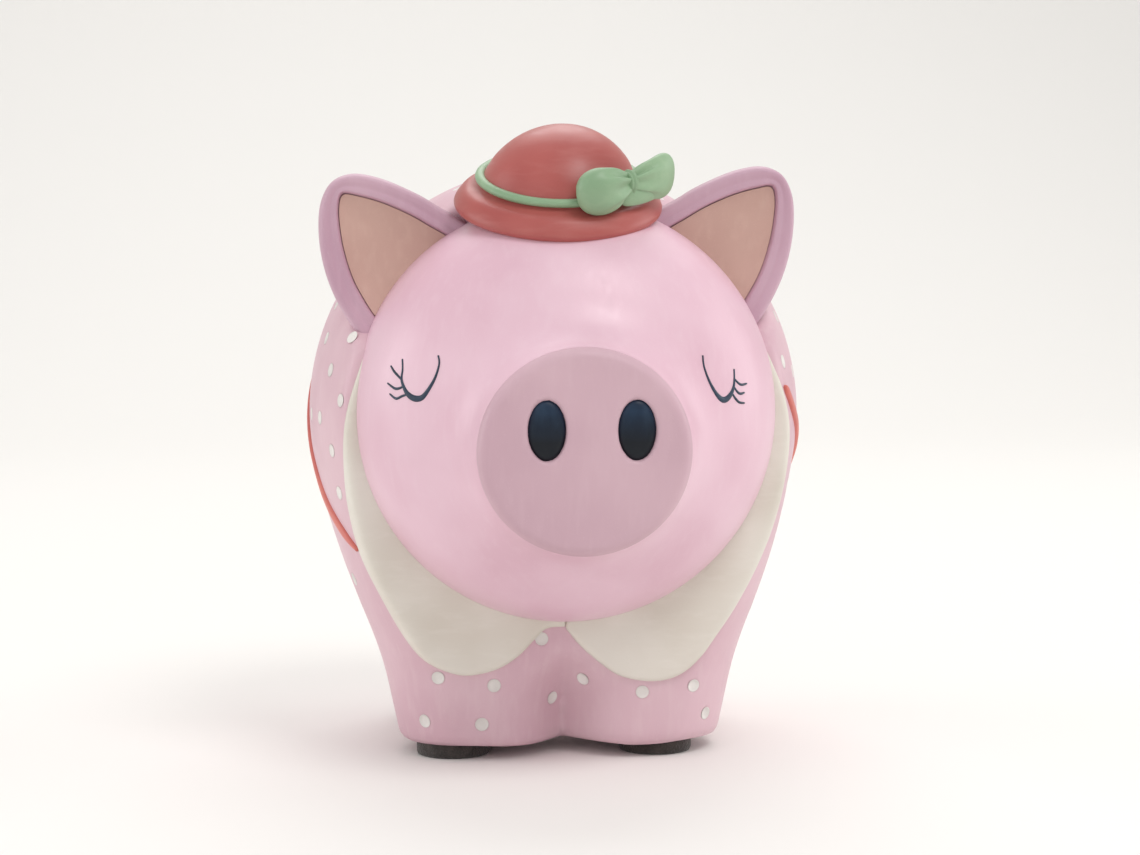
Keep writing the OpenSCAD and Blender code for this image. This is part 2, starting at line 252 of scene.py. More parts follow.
def lathePiece(name, profile, place, count=96, wobble=None):
    # profile is (radius, height) from the axis out and back to the axis
    rings = []
    turn = np.linspace(0, 2 * math.pi, count, endpoint=False)
    for r, h in profile:
        radius = r * (1 + (wobble(turn) if wobble else 0))
        ring = np.stack([radius * np.sin(turn), -radius * np.cos(turn), np.full(count, h)], 1)
        rings.append(place(ring))
    return loftPiece(name, rings)


def smoothLine(points, steps, closed=False):
    # smooth curve through the points, with steps between neighbours
    p = np.asarray(points, float)
    m = len(p)
    out = []
    for i in range(m if closed else m - 1):
        if closed:
            a, b, c, d = p[i - 1], p[i], p[(i + 1) % m], p[(i + 2) % m]
        else:
            a, b, c, d = p[max(0, i - 1)], p[i], p[i + 1], p[min(m - 1, i + 2)]
        for t in np.arange(steps) / steps:
            out.append((2 * b + (c - a) * t + (2 * a - 5 * b + 4 * c - d) * t * t
                        + (3 * b - a - 3 * c + d) * t ** 3) / 2)
    if not closed:
        out.append(p[-1])
    return np.array(out)


def alongLine(path):
    return unit(np.gradient(path, axis=0))


def finish(piece, material, replaced=(), body="pig"):
    piece.data.materials.clear()
    piece.data.materials.append(material)
    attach(piece, body)
    if replaced:
        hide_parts(*replaced)
    return piece


def ink(hexColour):
    parts = [int(hexColour[i:i + 2], 16) / 255 for i in (1, 3, 5)]
    return [c / 12.92 if c <= 0.04045 else ((c + 0.055) / 1.055) ** 2.4 for c in parts] + [1]


def noiseNode(tree, coord, scale, detail=3.0, stretch=(1, 1, 1), shift=0.0):
    place = tree.nodes.new("ShaderNodeMapping")
    place.inputs["Scale"].default_value = stretch
    place.inputs["Location"].default_value = (shift, shift, shift)
    noise = tree.nodes.new("ShaderNodeTexNoise")
    noise.inputs["Scale"].default_value = scale
    noise.inputs["Detail"].default_value = detail
    tree.links.new(coord, place.inputs["Vector"])
    tree.links.new(place.outputs["Vector"], noise.inputs["Vector"])
    return noise.outputs["Fac"]


def rangeNode(tree, value, fromLow, fromHigh, toLow, toHigh):
    node = tree.nodes.new("ShaderNodeMapRange")
    for socket, number in zip(("From Min", "From Max", "To Min", "To Max"),
                              (fromLow, fromHigh, toLow, toHigh)):
        node.inputs[socket].default_value = number
    tree.links.new(value, node.inputs["Value"])
    return node.outputs["Result"]


def mixNode(tree, factor, a, b):
    node = tree.nodes.new("ShaderNodeMix")
    node.data_type = "RGBA"
    tree.links.new(factor, node.inputs["Factor"])
    for socket, colour in ((node.inputs["A"], a), (node.inputs["B"], b)):
        if isinstance(colour, list):
            socket.default_value = colour
        else:
            tree.links.new(colour, socket)
    return node.outputs["Result"]


def paint(name, look):
    # hand-painted resin: cloudy tone, brush marks, fine specks, and a bump from all three; a finish may also
    # get painted shade towards its lower edge
    material = bpy.data.materials.new(name)
    material.use_nodes = True
    tree = material.node_tree
    shader = tree.nodes["Principled BSDF"]
    coord = tree.nodes.new("ShaderNodeTexCoord").outputs["Object"]
    clouds = noiseNode(tree, coord, look.get("cloudScale", 34), 2.0)
    brush = noiseNode(tree, coord, look.get("brushScale", 420), 3.0, look.get("brush", (1, 1, 0.22)), 0.3)
    specks = noiseNode(tree, coord, look.get("speckScale", 2600), 2.0, (1, 1, 1), 0.7)
    tone = mixNode(tree, rangeNode(tree, clouds, 0.36, 0.64, 0, 1), ink(look["deep"]), ink(look["pale"]))
    brushed = mixNode(tree, rangeNode(tree, brush, 0.5, 0.78, 0, look.get("brushed", 0.3)),
                      tone, ink(look["worn"]))
    speckled = mixNode(tree, rangeNode(tree, specks, 0.62, 0.8, 0, look.get("specked", 0.25)),
                       brushed, ink(look["speck"]))
    if "paintedShadeBelow" in look:
        # painted shade: darker towards the lower edge, fading out between two heights
        split = tree.nodes.new("ShaderNodeSeparateXYZ")
        tree.links.new(coord, split.inputs[0])
        low, high = [z * mm for z in look["between"]]
        paintedShadeFade = rangeNode(tree, split.outputs[2], low, high, 0, 1)
        speckled = mixNode(tree, paintedShadeFade, ink(look["paintedShadeBelow"]), speckled)
    tree.links.new(speckled, shader.inputs["Base Color"])
    rough = look.get("rough", 0.42)
    tree.links.new(rangeNode(tree, brush, 0.3, 0.7, rough - 0.05, rough + 0.09), shader.inputs["Roughness"])
    add = tree.nodes.new("ShaderNodeMath")
    add.operation = "MULTIPLY_ADD"
    add.inputs[1].default_value = 0.35
    tree.links.new(specks, add.inputs[0])
    tree.links.new(brush, add.inputs[2])
    bump = tree.nodes.new("ShaderNodeBump")
    bump.inputs["Strength"].default_value = look.get("bump", 0.2)
    bump.inputs["Distance"].default_value = look.get("bumpDepth", 0.12) * mm
    tree.links.new(add.outputs["Value"], bump.inputs["Height"])
    tree.links.new(bump.outputs["Normal"], shader.inputs["Normal"])
    shader.inputs["Specular IOR Level"].default_value = look.get("specular", 0.45)
    shader.inputs["Metallic"].default_value = look.get("metallic", 0.0)
    shader.inputs["Sheen Weight"].default_value = look.get("sheen", 0.0)
    return material


nostrilZ = nodeCentre("nostril_left")[2]
finishes = {
    "dressPaint": dict(deep="#d3adb9", pale="#dcbac4", worn="#e5ccd0", speck="#ecd8da", rough=0.42),
    "skinPaint": dict(deep="#dfb7c6", pale="#e7c3d1", worn="#ecd0da", speck="#f0dbe2", rough=0.34,
                      brushed=0.22, bump=0.12, specular=0.5),
    "rimPaint": dict(deep="#c09aac", pale="#caa7b7", worn="#d4b5c3", speck="#dcc3ce", rough=0.44,
                     brushed=0.25, bump=0.14),
    "snoutPaint": dict(deep="#c8a5b1", pale="#d0aeb9", worn="#d8bac3", speck="#dfc6cd", rough=0.44,
                       brushed=0.25, bump=0.14),
    "navyPaint": dict(deep="#16263a", pale="#24384e", worn="#3a4d61", speck="#52636f", rough=0.36,
                      brushed=0.35, cloudScale=120, specular=0.5),
    # the nostrils get painted shade on top of their navy paint, darker towards their lower edge
    "nostrilPaintAndShade": dict(deep="#14253a", pale="#20344b", worn="#33475c", speck="#46586a", rough=0.34,
                         brushed=0.35, cloudScale=120, specular=0.3, paintedShadeBelow="#050d18",
                         between=(nostrilZ - 3, nostrilZ + 5)),
    "earPaint": dict(deep="#c6a296", pale="#d1afa2", worn="#d9bcae", speck="#e0c8bc", rough=0.55,
                     brush=(1, 1, 0.5)),
    "collarPaint": dict(deep="#d9d2c6", pale="#e4dfd5", worn="#ece8e0", speck="#cec5b5", rough=0.5,
                        brush=(0.3, 1, 1)),
    "hatPaint": dict(deep="#a54f4b", pale="#b25c57", worn="#bc736d", speck="#933f3e", rough=0.36,
                     brushed=0.35, brush=(0.25, 0.25, 1), bump=0.3, specular=0.5),
    "coralPaint": dict(deep="#c9655e", pale="#d9786d", worn="#e39386", speck="#b4534f", rough=0.4,
                       brushed=0.35, brush=(0.25, 0.25, 1), bump=0.3),
    "mintPaint": dict(deep="#7f9e7c", pale="#92b08d", worn="#a9bf9f", speck="#6b876b", rough=0.42,
                      brush=(0.4, 1, 1)),
    "dotPaint": dict(deep="#dfdad6", pale="#ebe7e3", worn="#f3f0ec", speck="#c3cbc0", rough=0.5,
                     cloudScale=90),
    "claspPaint": dict(deep="#b8924a", pale="#d2ad63", worn="#e2c688", speck="#8d6c35", rough=0.32,
                       metallic=0.8, cloudScale=200),
    "padFelt": dict(deep="#3b3735", pale="#4b4643", worn="#5f5a56", speck="#7a746f", rough=0.9,
                    cloudScale=300, brushScale=1500, brush=(1, 1, 1), speckScale=4200, specked=0.6,
                    bump=0.9, bumpDepth=0.4, specular=0.15, sheen=0.3),
    "stopperRubber": dict(deep="#d2cfc8", pale="#dedbd5", worn="#e8e6e1", speck="#bdb9b0", rough=0.58,
                          brush=(1, 1, 1), bump=0.15, specular=0.35),
}
paints = {name: paint(name, look) for name, look in finishes.items()}
print("finishes made:", len(paints))


# the dress is one skin over the body and all four legs
dress = {
    "midY": 9, "chest": (79.5, 2.0), "rump": (59, 2.3),
    "frontFoot": (21.4, -8, 3), "frontRadius": 20.4, "frontFlare": 4.6, "frontLean": 8,
    "hindFoot": (23.5, 41, 3), "hindRadius": 15.3, "hindFlare": 3.4, "hindLean": 4,
    "blend": 21.0, "crease": 7.0, "hem": 3.5, "hemRound": 3.0, "shoulderY": -19.5,
    "wall": 5.2, "step": 1.7,
    "slotLength": 36, "slotWidth": 5, "slotY": 25,
}
bodyR = (bodyHigh[0] - bodyLow[0]) / 2
stopperLow, stopperHigh = nodeBox("stopper")
flangeR = (stopperHigh[0] - stopperLow[0]) / 2
seatZ = stopperLow[2] + 3                  # the flange is 3 thick
holeR = flangeR - 2.5


def legField(p, side, foot, lean, radius, flare, height=64, fade=30):
    place = (side * foot[0], foot[1], foot[2])
    return coneField(p, place, lean, radius, flare, height, fade)


def frontLegs(p):
    left, right = [legField(p, s, dress["frontFoot"], dress["frontLean"], dress["frontRadius"],
                            dress["frontFlare"]) for s in (1, -1)]
    web = np.hypot(np.abs(p[..., 0]) - 14.5, p[..., 1] + 8) - 15.2
    web = smoothMax(web, p[..., 2] - 58, 4)
    both = np.minimum(np.where(p[..., 0] > 0, left, right), web)
    return smoothMin(smoothMin(left, right, dress["crease"]), both, dress["crease"])


def hindLegs(p):
    left, right = [legField(p, s, dress["hindFoot"], dress["hindLean"], dress["hindRadius"],
                            dress["hindFlare"], 42, 20) for s in (1, -1)]
    return np.minimum(left, right)


def dressOutside(p):
    egg = eggField(p, bodyR, dress["midY"], axisZ, dress["chest"], dress["rump"])
    hem = dress["hem"] + 0.3 * np.sin(p[..., 0] * 0.21 + 0.6) + 0.2 * np.sin(p[..., 1] * 0.17)
    legs = smoothMin(frontLegs(p), hindLegs(p), 3)
    f = smoothMin(egg, legs, dress["blend"])
    f = smoothMax(f, hem - p[..., 2], dress["hemRound"])
    rise = np.clip((p[..., 2] - 111) / 10, 0, 1)        # the ears cover the front edge above this
    frontY = seamY - 0.6 + (dress["shoulderY"] - seamY) * rise * rise * (3 - 2 * rise)
    return smoothMax(f, frontY - p[..., 1], 2.5)


def dressField(p):
    x, y, z = p[..., 0], p[..., 1], p[..., 2]
    inner = eggField(p, bodyR - dress["wall"], dress["midY"], axisZ,
                     (dress["chest"][0] - dress["wall"], dress["chest"][1]),
                     (dress["rump"][0] - dress["wall"], dress["rump"][1]))
    inner = smoothMax(inner, dress["shoulderY"] + dress["wall"] - y, 3)
    fromHole = np.hypot(x - stopperAt[0], y - stopperAt[1])
    inner = np.maximum(inner, -np.maximum(fromHole - holeR - 6, z - seatZ - 6))
    half = dress["slotLength"] / 2 - dress["slotWidth"] / 2
    slot = np.hypot(x, np.maximum(np.abs(y - dress["slotY"]) - half, 0)) - dress["slotWidth"] / 2
    slot = np.maximum(slot, axisZ - z)
    seat = np.maximum(fromHole - flangeR - 0.7, z - seatZ)
    hole = np.maximum(fromHole - holeR - 0.1, z - axisZ)
    f = np.maximum(dressOutside(p), -inner)
    f = smoothMax(f, -slot, 1.4)
    f = smoothMax(f, -np.minimum(seat, hole), 0.6)
    return f


head = {"midY": -22, "face": (45, 2.3), "backY": -15.5, "radius": 57.2,
        "snoutX": 0.1, "snoutR": 27.5, "snoutBack": 31.5, "snoutTall": 0.97, "snoutBlend": 11.0, "step": 1.6}
snoutZ = axisZ - 4.2


def headField(p):
    f = eggField(p, head["radius"], head["midY"], headZ, head["face"], (40, 2.0))
    rho = np.hypot(p[..., 0] - head["snoutX"], (p[..., 2] - snoutZ) / head["snoutTall"])
    t = np.clip((p[..., 1] - snoutY - 2) / 22, 0, 1)
    side = rho - head["snoutR"] - (head["snoutBack"] - head["snoutR"]) * t ** 1.3
    side = smoothMax(side, snoutY + 3.0 - p[..., 1], 0.8)
    side = np.maximum(side, p[..., 1] + 40)
    f = smoothMin(f, side, head["snoutBlend"])
    return smoothMax(f, p[..., 1] - head["backY"], 2)


def faceDepth(x, z):
    # y of the face at a point in the front view
    low, high = np.full(len(x), -90.0), np.full(len(x), head["midY"] - 1.0)
    for _ in range(40):
        middle = (low + high) / 2
        out = headField(np.stack([x, middle, z], 1)) > 0
        low, high = np.where(out, middle, low), np.where(out, high, middle)
    return high


headPiece = fieldPiece("head", headField, (-60, -78, 33), (60, -12, 155), head["step"])
finish(headPiece, paints["skinPaint"], ["head_shell"])

snout = {"radius": 27.6, "edge": 3.0, "thick": 6.0, "crown": 0.4, "step": 0.85,
         "nostril": (4.9, 7.8), "pit": 1.8, "dome": 1.6}
nostrilX = [nodeCentre("nostril_left")[0], nodeCentre("nostril_right")[0]]


def snoutField(p):
    rho = np.hypot(p[..., 0] - head["snoutX"], (p[..., 2] - snoutZ) / head["snoutTall"])
    e = snout["edge"]
    front = snoutY + snout["crown"] * (rho / snout["radius"]) ** 2
    a = rho - snout["radius"] + e
    b = front + e - p[..., 1]
    f = np.hypot(np.maximum(a, 0), np.maximum(b, 0)) + np.minimum(np.maximum(a, b), 0) - e
    f = np.maximum(f, p[..., 1] - snoutY - snout["thick"])
    for x in nostrilX:
        oval = np.hypot((p[..., 0] - x) / snout["nostril"][0],
                        (p[..., 2] - nostrilZ) / snout["nostril"][1]) - 1
        pit = np.maximum(oval * snout["nostril"][0], p[..., 1] - snoutY - snout["pit"])
        f = smoothMax(f, -pit, 0.9)
    return f


snoutPiece = fieldPiece("snout_disc", snoutField, (-30, snoutY - 1.5, snoutZ - 30),
                        (31, snoutY + 7.5, snoutZ + 30), snout["step"])
finish(snoutPiece, paints["snoutPaint"], ["snout"])


def nostrilPiece(name, x):
    # a shallow bead that fills the pit
    a, b = snout["nostril"]
    rings = []
    turn = np.linspace(0, 2 * math.pi, 56, endpoint=False)
    backY = snoutY + snout["pit"] + 0.4
    for s, y in ((0.5, backY), (0.99, backY), (1.0, backY - 0.6)):
        rings.append(np.stack([x + a * s * np.sin(turn), np.full(56, y), nostrilZ + b * s * np.cos(turn)], 1))
    for q in np.linspace(0.06, 0.98, 11):
        s = math.cos(q * math.pi / 2) ** 0.8
        y = backY - 0.6 - snout["dome"] * math.sin(q * math.pi / 2)
        rings.append(np.stack([x + a * s * np.sin(turn), np.full(56, y), nostrilZ + b * s * np.cos(turn)], 1))
    return loftPiece(name, rings)


for name, x in (("nostril_left", nostrilX[0]), ("nostril_right", nostrilX[1])):
    finish(nostrilPiece(name + "_bead", x), paints["nostrilPaintAndShade"], [name])
print("head and snout made")

# closed eyes: raised pen strokes on the face, as (x, z) points and half widths
eyes = {
    "eye_right": {
        "lid": [(-36.1, 112.1), (-35.9, 110), (-37, 106.4), (-38.9, 103), (-40.4, 101.2), (-42.1, 100.9),
                (-43.6, 101.7), (-44.6, 103.2), (-45.3, 105.6), (-45, 108.2), (-45, 110.8)],
        "lashes": [[(-45.1, 105.3), (-46.3, 106.6), (-47.1, 107.5), (-47.9, 108.9)],
                   [(-44.9, 103.9), (-45.9, 103.3), (-47.1, 103.2), (-48.8, 104.4)],
                   [(-44, 101.8), (-45.3, 101.3), (-46.8, 100.6), (-48.3, 101.7)]],
    },
    "eye_left": {
        "lid": [(32.4, 111.8), (32.7, 108.8), (34.2, 104.8), (36.2, 101.6), (37.8, 100.2), (39.2, 100.4),
                (40.5, 101.8), (41.2, 103.6), (41.4, 105.8), (41.4, 107.9)],
        "lashes": [[(41.4, 105.4), (42.6, 104.2), (43.7, 103.7), (45.2, 103.9)],
                   [(41.2, 103.4), (42.2, 102), (43.2, 101.4), (44.4, 101.6)],
                   [(40.6, 101.8), (41.6, 100.3), (42.8, 99.2), (44.4, 98.9)]],
    },
    "lidWidth": (0.26, 0.82), "lashWidth": (0.2, 0.36), "height": 0.3,
}


def strokeRings(points, ends, middle, sharp):
    line = smoothLine(points, 7)
    y = faceDepth(line[:, 0], line[:, 1])
    path = np.stack([line[:, 0], y, line[:, 1]], 1)
    out = unit(slopeOf(headField, path))
    aside = unit(np.cross(alongLine(path), out))
    t = np.linspace(0, 1, len(path))
    width = ends + (middle - ends) * np.sin(math.pi * t) ** sharp
    turn = np.linspace(0, 2 * math.pi, 8, endpoint=False)
    rise = eyes["height"] * np.minimum(1, 0.35 + width / 0.6)
    return [path[i] + width[i] * np.outer(np.cos(turn), aside[i]) + rise[i] * np.outer(np.sin(turn), out[i])
            for i in range(len(path))]


def joined(name, pieces):
    bm = bmesh.new()
    for piece in pieces:
        bm.from_mesh(piece.data)
        bpy.data.objects.remove(piece)
    mesh = bpy.data.meshes.new(name)
    bm.to_mesh(mesh)
    bm.free()
    mesh.shade_smooth()
    piece = bpy.data.objects.new(name, mesh)
    bpy.context.scene.collection.objects.link(piece)
    return piece


for name in ("eye_left", "eye_right"):
    strokes = [loftPiece("stroke", strokeRings(eyes[name]["lid"], *eyes["lidWidth"], 3.0))]
    strokes += [loftPiece("stroke", strokeRings(lash, *eyes["lashWidth"], 0.7))
                for lash in eyes[name]["lashes"]]
    finish(joined(name + "_stroke", strokes), paints["navyPaint"], [name])


# outlines of one ear in the front view, away from the middle
ear = {
    "outer": [(22, 143.5), (33.4, 151.7), (40.3, 155.5), (48.3, 158.7), (55.5, 159.8), (60.9, 157.6),
              (63.8, 152.3), (64.5, 145.5), (63.8, 138), (61.8, 130.5), (58.3, 123), (53.4, 115.8),
              (47, 110), (36, 114), (26, 129)],
    "inner": [(27, 140.5), (35.5, 146.5), (41.5, 149.8), (48.3, 152.6), (54.2, 154.2), (58.2, 154.6),
              (59.3, 151), (59, 145.5), (57.9, 139.2), (55.6, 131.8), (52.4, 125.6), (48.8, 120.3),
              (44, 115.5), (36.5, 121), (29, 132)],
    "shift": (-1.5, 1.0), "y": -20.5, "front": 3.4, "edge": 0.24, "crease": 0.3, "lip": 0.9,
    "back": 4.4, "cup": 2.4, "dish": 1.8,
}


def earPieces(name, side):
    outer = smoothLine(ear["outer"], 6, True)
    inner = smoothLine(ear["inner"], 6, True)
    middle = inner.mean(0)

    def ring(outline, depth):
        away = np.linalg.norm(outline - middle, axis=1)
        y = ear["y"] + depth - ear["cup"] * (away / 26) ** 2
        return np.stack([side * outline[:, 0] + ear["shift"][0], y,
                         outline[:, 1] + side * ear["shift"][1]], 1)

    rings = [ring(middle + (outer - middle) * s, ear["back"] * (1 - s ** 4))
             for s in (0.15, 0.45, 0.7, 0.86, 0.95)]
    for u in (0, 0.02, 0.05, 0.1, 0.16, 0.24, 0.34, 0.44, 0.52, 0.6, 0.68, 0.76, 0.84, 0.9, 0.94, 0.97, 1):
        edge = min(u / ear["edge"], 1)
        rise = ear["front"] * math.sqrt(1 - (1 - edge) ** 2)
        rise -= ear["crease"] * math.exp(-((u - 0.6) / 0.11) ** 2)
        rise -= ear["lip"] * max(0, (u - 0.9) / 0.1) ** 2
        rings.append(ring(outer + (inner - outer) * u, 0.6 - rise))
    for s, depth in ((0.975, 1.4), (0.9, 3.4), (0.4, 3.4)):
        rings.append(ring(middle + (inner - middle) * s, depth + 0.6 - ear["front"] + ear["lip"]))
    finish(loftPiece(name + "_rim", rings), paints["rimPaint"], [name])
    top = 0.6 - ear["front"] + ear["lip"]
    lining = [ring(middle + (inner - middle) * s, top + 2.6) for s in (0.2, 0.6, 0.95)]
    for s in (0.972, 0.965, 0.95, 0.92, 0.86, 0.78, 0.68, 0.56, 0.42, 0.28, 0.12):
        lining.append(ring(middle + (inner - middle) * s, top + 0.25 + ear["dish"] * (1 - s ** 2.6)))
    return finish(loftPiece(name + "_lining_paint", lining), paints["earPaint"],
                  [name.replace("ear_", "ear_lining_")])


for name, side in (("ear_left", 1), ("ear_right", -1)):
    earPieces(name, side)
print("eyes and ears made")


# the collar's two lobes differ a little, as painted by hand
collar = {
    "edge": {1: [(-0.4, 36.4), (3.6, 31.5), (9.3, 26.4), (15, 22.8), (23.5, 21.4), (30.6, 22.9), (36.3, 27.3),
                 (41, 33.5), (46.5, 41.5), (52.5, 52.5), (57.5, 64.5), (60.6, 77), (61.3, 89), (59.4, 99),
                 (56.4, 106.5), (52.6, 114.5)],
             -1: [(0.4, 36.8), (5.5, 36.4), (9.1, 33.1), (13.3, 28.9), (18.9, 25.5), (26, 23.9),
                  (31.6, 24.6), (38.6, 27.9), (44.1, 34.4), (50.7, 46.1), (55.6, 56.5), (58.6, 68.3),
                  (59.8, 79), (59.8, 90.5), (57.9, 100), (53.3, 113.6)]},
    "thick": 2.0, "under": 1.6, "round": 1.2, "backY": -3, "step": 0.8,
}


def collarField(p, side):
    x, y, z = side * p[..., 0], p[..., 1], p[..., 2]
    edge = smoothLine(collar["edge"][side], 4)
    outline = np.concatenate([edge, [(40, 118), (-0.0, 118)]])
    dressAway = dressOutside(p)
    region = polygonField(x, z, outline)
    shell = smoothMax(dressAway - collar["thick"], region, collar["round"] * 2)
    shell = smoothMax(shell, seamY - collar["thick"] - y, 1.0)
    shell = np.maximum(shell, y - collar["backY"])
    return np.maximum(shell, -dressAway - collar["under"])


for name, side in (("collar_left", 1), ("collar_right", -1)):
    low, high = (-1.5, -36, 17), (64, -2, 120)
    if side < 0:
        low, high = (-64, -36, 17), (1.5, -2, 120)
    lobe = fieldPiece(name + "_lobe", lambda p: collarField(p, side), low, high, collar["step"])
    finish(lobe, paints["collarPaint"], [name])
print("collar made")


# the hat is turned on its own axis and then tilted forward
hat = {
    "tilt": 18, "bandR": 21.2, "bandZ": 7.6, "lean": 1.3, "shift": 0.6,
    "crown": [(21.4, 6.4), (20.8, 7.6), (20.1, 8.9), (19.3, 10.4), (18.3, 12.2), (16.7, 14.2), (14.4, 16.4),
              (11.6, 18.4), (8.2, 20.1), (4.6, 21.2), (1.8, 21.5)],
    "brim": [(4, -1.1), (16, -1.3), (24, -1.6), (26.3, -1.4), (27.5, -0.7), (28.0, 0.4), (27.8, 1.4),
             (27.2, 2.4), (26.6, 3.2), (25.9, 4.0), (24.8, 4.7), (23.3, 5.2), (22.1, 5.8)],
    "cord": (1.35, 1.15),
}
bandAt = nodeCentre("hat_band")
tilt = math.radians(hat["tilt"])
hatUp = np.array([0, -math.sin(tilt), math.cos(tilt)])
hatBack = np.array([0, math.cos(tilt), math.sin(tilt)])
hatAt = bandAt - 6.7 * hatUp + np.array([hat["shift"], 0, 0])


def onHat(p):
    p = np.array(p, float)
    p[..., 0] += hat["lean"] * np.clip((p[..., 2] - 4) / 17, 0, 1)       # the crown sits a little askew
    return hatAt + p[..., :1] * np.array([1, 0, 0]) + p[..., 1:2] * hatBack + p[..., 2:3] * hatUp


def handMade(turn):
    return 0.006 * np.sin(2 * turn + 0.7) + 0.004 * np.sin(5 * turn + 2)


profile = hat["brim"] + hat["crown"]
profile = smoothLine(profile, 3)
hatPiece = lathePiece("hat_felt_shape", profile, onHat, 112, handMade)
finish(hatPiece, paints["hatPaint"], ["hat"])

bandRings = []
for t in np.linspace(0, 2 * math.pi, 120, endpoint=False):
    turn = np.linspace(0, 2 * math.pi, 12, endpoint=False)
    out = hat["bandR"] * (1 + float(handMade(np.array([t]))[0])) + 0.2 + hat["cord"][0] * np.cos(turn)
    up = hat["bandZ"] + hat["cord"][1] * np.sin(turn) + 0.15 * math.sin(3 * t)
    bandRings.append(onHat(np.stack([out * math.sin(t), -out * math.cos(t), up], 1)))
bandRings.append(bandRings[0])
band = fixNormals(loftPiece("hat_band_cord", bandRings, closed=False))
finish(band, paints["mintPaint"], ["hat_band"])

bow = {
    "knot": (41, 24.3, 12.3),                     # angle from the front, distance out, height
    "inner": {"end": (4, 24.0, 10.6), "tall": 6.4, "deep": 4.3, "blunt": 2.6, "widest": 0.62},
    "outer": {"end": (75, 29.2, 11.6), "tall": 6.2, "deep": 2.8, "blunt": 4.2, "widest": 0.7},
    "neck": (2.3, 1.7), "pleats": 7, "pleatDepth": 0.23,
}


def ringPoint(angle, radius, lift):
    a = math.radians(angle)
    return np.array([radius * math.sin(a), -radius * math.cos(a), lift])


def bowLoop(name, loop):
    # a cushion that starts narrow and gathered at the knot
    t = np.linspace(0, 1, 36)
    start, end = ringPoint(*bow["knot"]), ringPoint(*loop["end"])
    flat = start + np.outer(t, end - start)
    bulge = 1.2 * np.sin(math.pi * t)
    flat[:, :2] *= (1 + bulge / np.linalg.norm(flat[:, :2], axis=1))[:, None]
    path = onHat(flat)
    ahead = alongLine(path)
    up = unit(hatUp - ahead * (ahead @ hatUp)[:, None])
    out = np.cross(up, ahead) * math.copysign(1, end[0] - start[0])
    belly = np.sin(np.clip(t / loop["widest"], 0, 1) * math.pi / 2) ** 1.3
    tip = np.clip(1 - (np.clip(t - 0.5, 0, 1) / 0.5) ** loop["blunt"], 0, 1) ** (1 / 2.2)
    tall = (bow["neck"][0] + (loop["tall"] - bow["neck"][0]) * belly) * tip
    deep = (bow["neck"][1] + (loop["deep"] - bow["neck"][1]) * belly) * tip
    turn = np.linspace(0, 2 * math.pi, 64, endpoint=False)
    rings = []
    for i in range(len(t)):
        folds = bow["pleatDepth"] * np.cos(bow["pleats"] * turn + 1.1)
        pleat = 1 + folds * math.exp(-((t[i] - 0.14) / 0.26) ** 2)      # deepest near the knot
        a = np.sign(np.cos(turn)) * np.abs(np.cos(turn)) ** 0.85 * tall[i] * pleat
        b = np.sign(np.sin(turn)) * np.abs(np.sin(turn)) ** 0.95 * deep[i] * pleat
        rings.append(path[i] + np.outer(a, up[i]) + np.outer(b, out[i]))
    return loftPiece(name, rings)


def bowRibbon():
    # the flat end of the band that shows under the outer loop
    t = np.linspace(0, 1, 20)
    start, end = ringPoint(33, 24.8, 8.6), ringPoint(73, 28.0, 9.0)
    flat = start + np.outer(t, end - start)
    flat[:, :2] *= (1 + 2.2 * np.sin(math.pi * t) / np.linalg.norm(flat[:, :2], axis=1))[:, None]
    path = onHat(flat)
    out = unit(path - hatAt - np.outer((path - hatAt) @ hatUp, hatUp))
    turn = np.linspace(0, 2 * math.pi, 20, endpoint=False)
    size = np.clip(1 - (2 * t - 1) ** 6, 0, 1) ** 0.5
    return loftPiece("ribbon", [path[i] + np.outer(2.7 * size[i] * np.cos(turn), hatUp)
                                + np.outer(0.9 * size[i] * np.sin(turn), out[i]) for i in range(len(t))])


finish(bowLoop("bow_inner_fold", bow["inner"]), paints["mintPaint"], ["bow_loop_inner"])
outerFold = joined("bow_outer_fold", [bowLoop("loop", bow["outer"]), bowRibbon()])
finish(outerFold, paints["mintPaint"], ["bow_loop_outer"])


def bowKnot():
    # a short pleated wrap round the neck of the bow
    centre = onHat(ringPoint(*bow["knot"]))
    a = math.radians(bow["knot"][0])
    along = math.cos(a) * np.array([1, 0, 0]) + math.sin(a) * hatBack
    out = math.sin(a) * np.array([1, 0, 0]) - math.cos(a) * hatBack
    turn = np.linspace(0, 2 * math.pi, 48, endpoint=False)
    rings = []
    for s in np.linspace(-1, 1, 25):
        swell = math.sqrt(max(0, 1 - abs(s) ** 3)) * (1 + 0.09 * math.cos(9.4 * s))
        up = 3.2 * swell * np.cos(turn)
        forth = 2.6 * swell * np.sin(turn)
        rings.append(centre + along * (1.7 * s) + np.outer(up, hatUp) + np.outer(forth, out))
    return loftPiece("bow_knot_wrap", rings)


finish(bowKnot(), paints["mintPaint"], ["bow_knot"])
print("hat and bow made")


def bodySurface(angle, y, out=0.0):
    # point on the dress at an angle from the top towards +X
    a = np.radians(np.asarray(angle, float))
    y = np.asarray(y, float) + 0 * a
    ray = np.stack([np.sin(a), 0 * a, np.cos(a)], -1)
    low, high = np.zeros(len(a)), np.full(len(a), 78.0)
    start = np.stack([0 * a, y, 0 * a + axisZ], -1)
    for _ in range(36):
        middle = (low + high) / 2
        isIn = dressOutside(start + ray * middle[:, None]) < 0
        low, high = np.where(isIn, middle, low), np.where(isIn, high, middle)
    return start + ray * (low + out)[:, None]


strap = {
    "front": [(81.5, -29), (88, -22), (95, -10), (101, 1), (107, 9), (114, 21)],
    "back": [(-122, -24), (-115, -14), (-107, -1), (-98, 10), (-90, 18), (-76, 29), (-52, 41), (-22, 49),
             (10, 52), (50, 49), (85, 44), (106, 40), (115, 38)],
    "width": 3.0, "rise": 0.9, "sink": 0.5, "taper": 0.06,
}


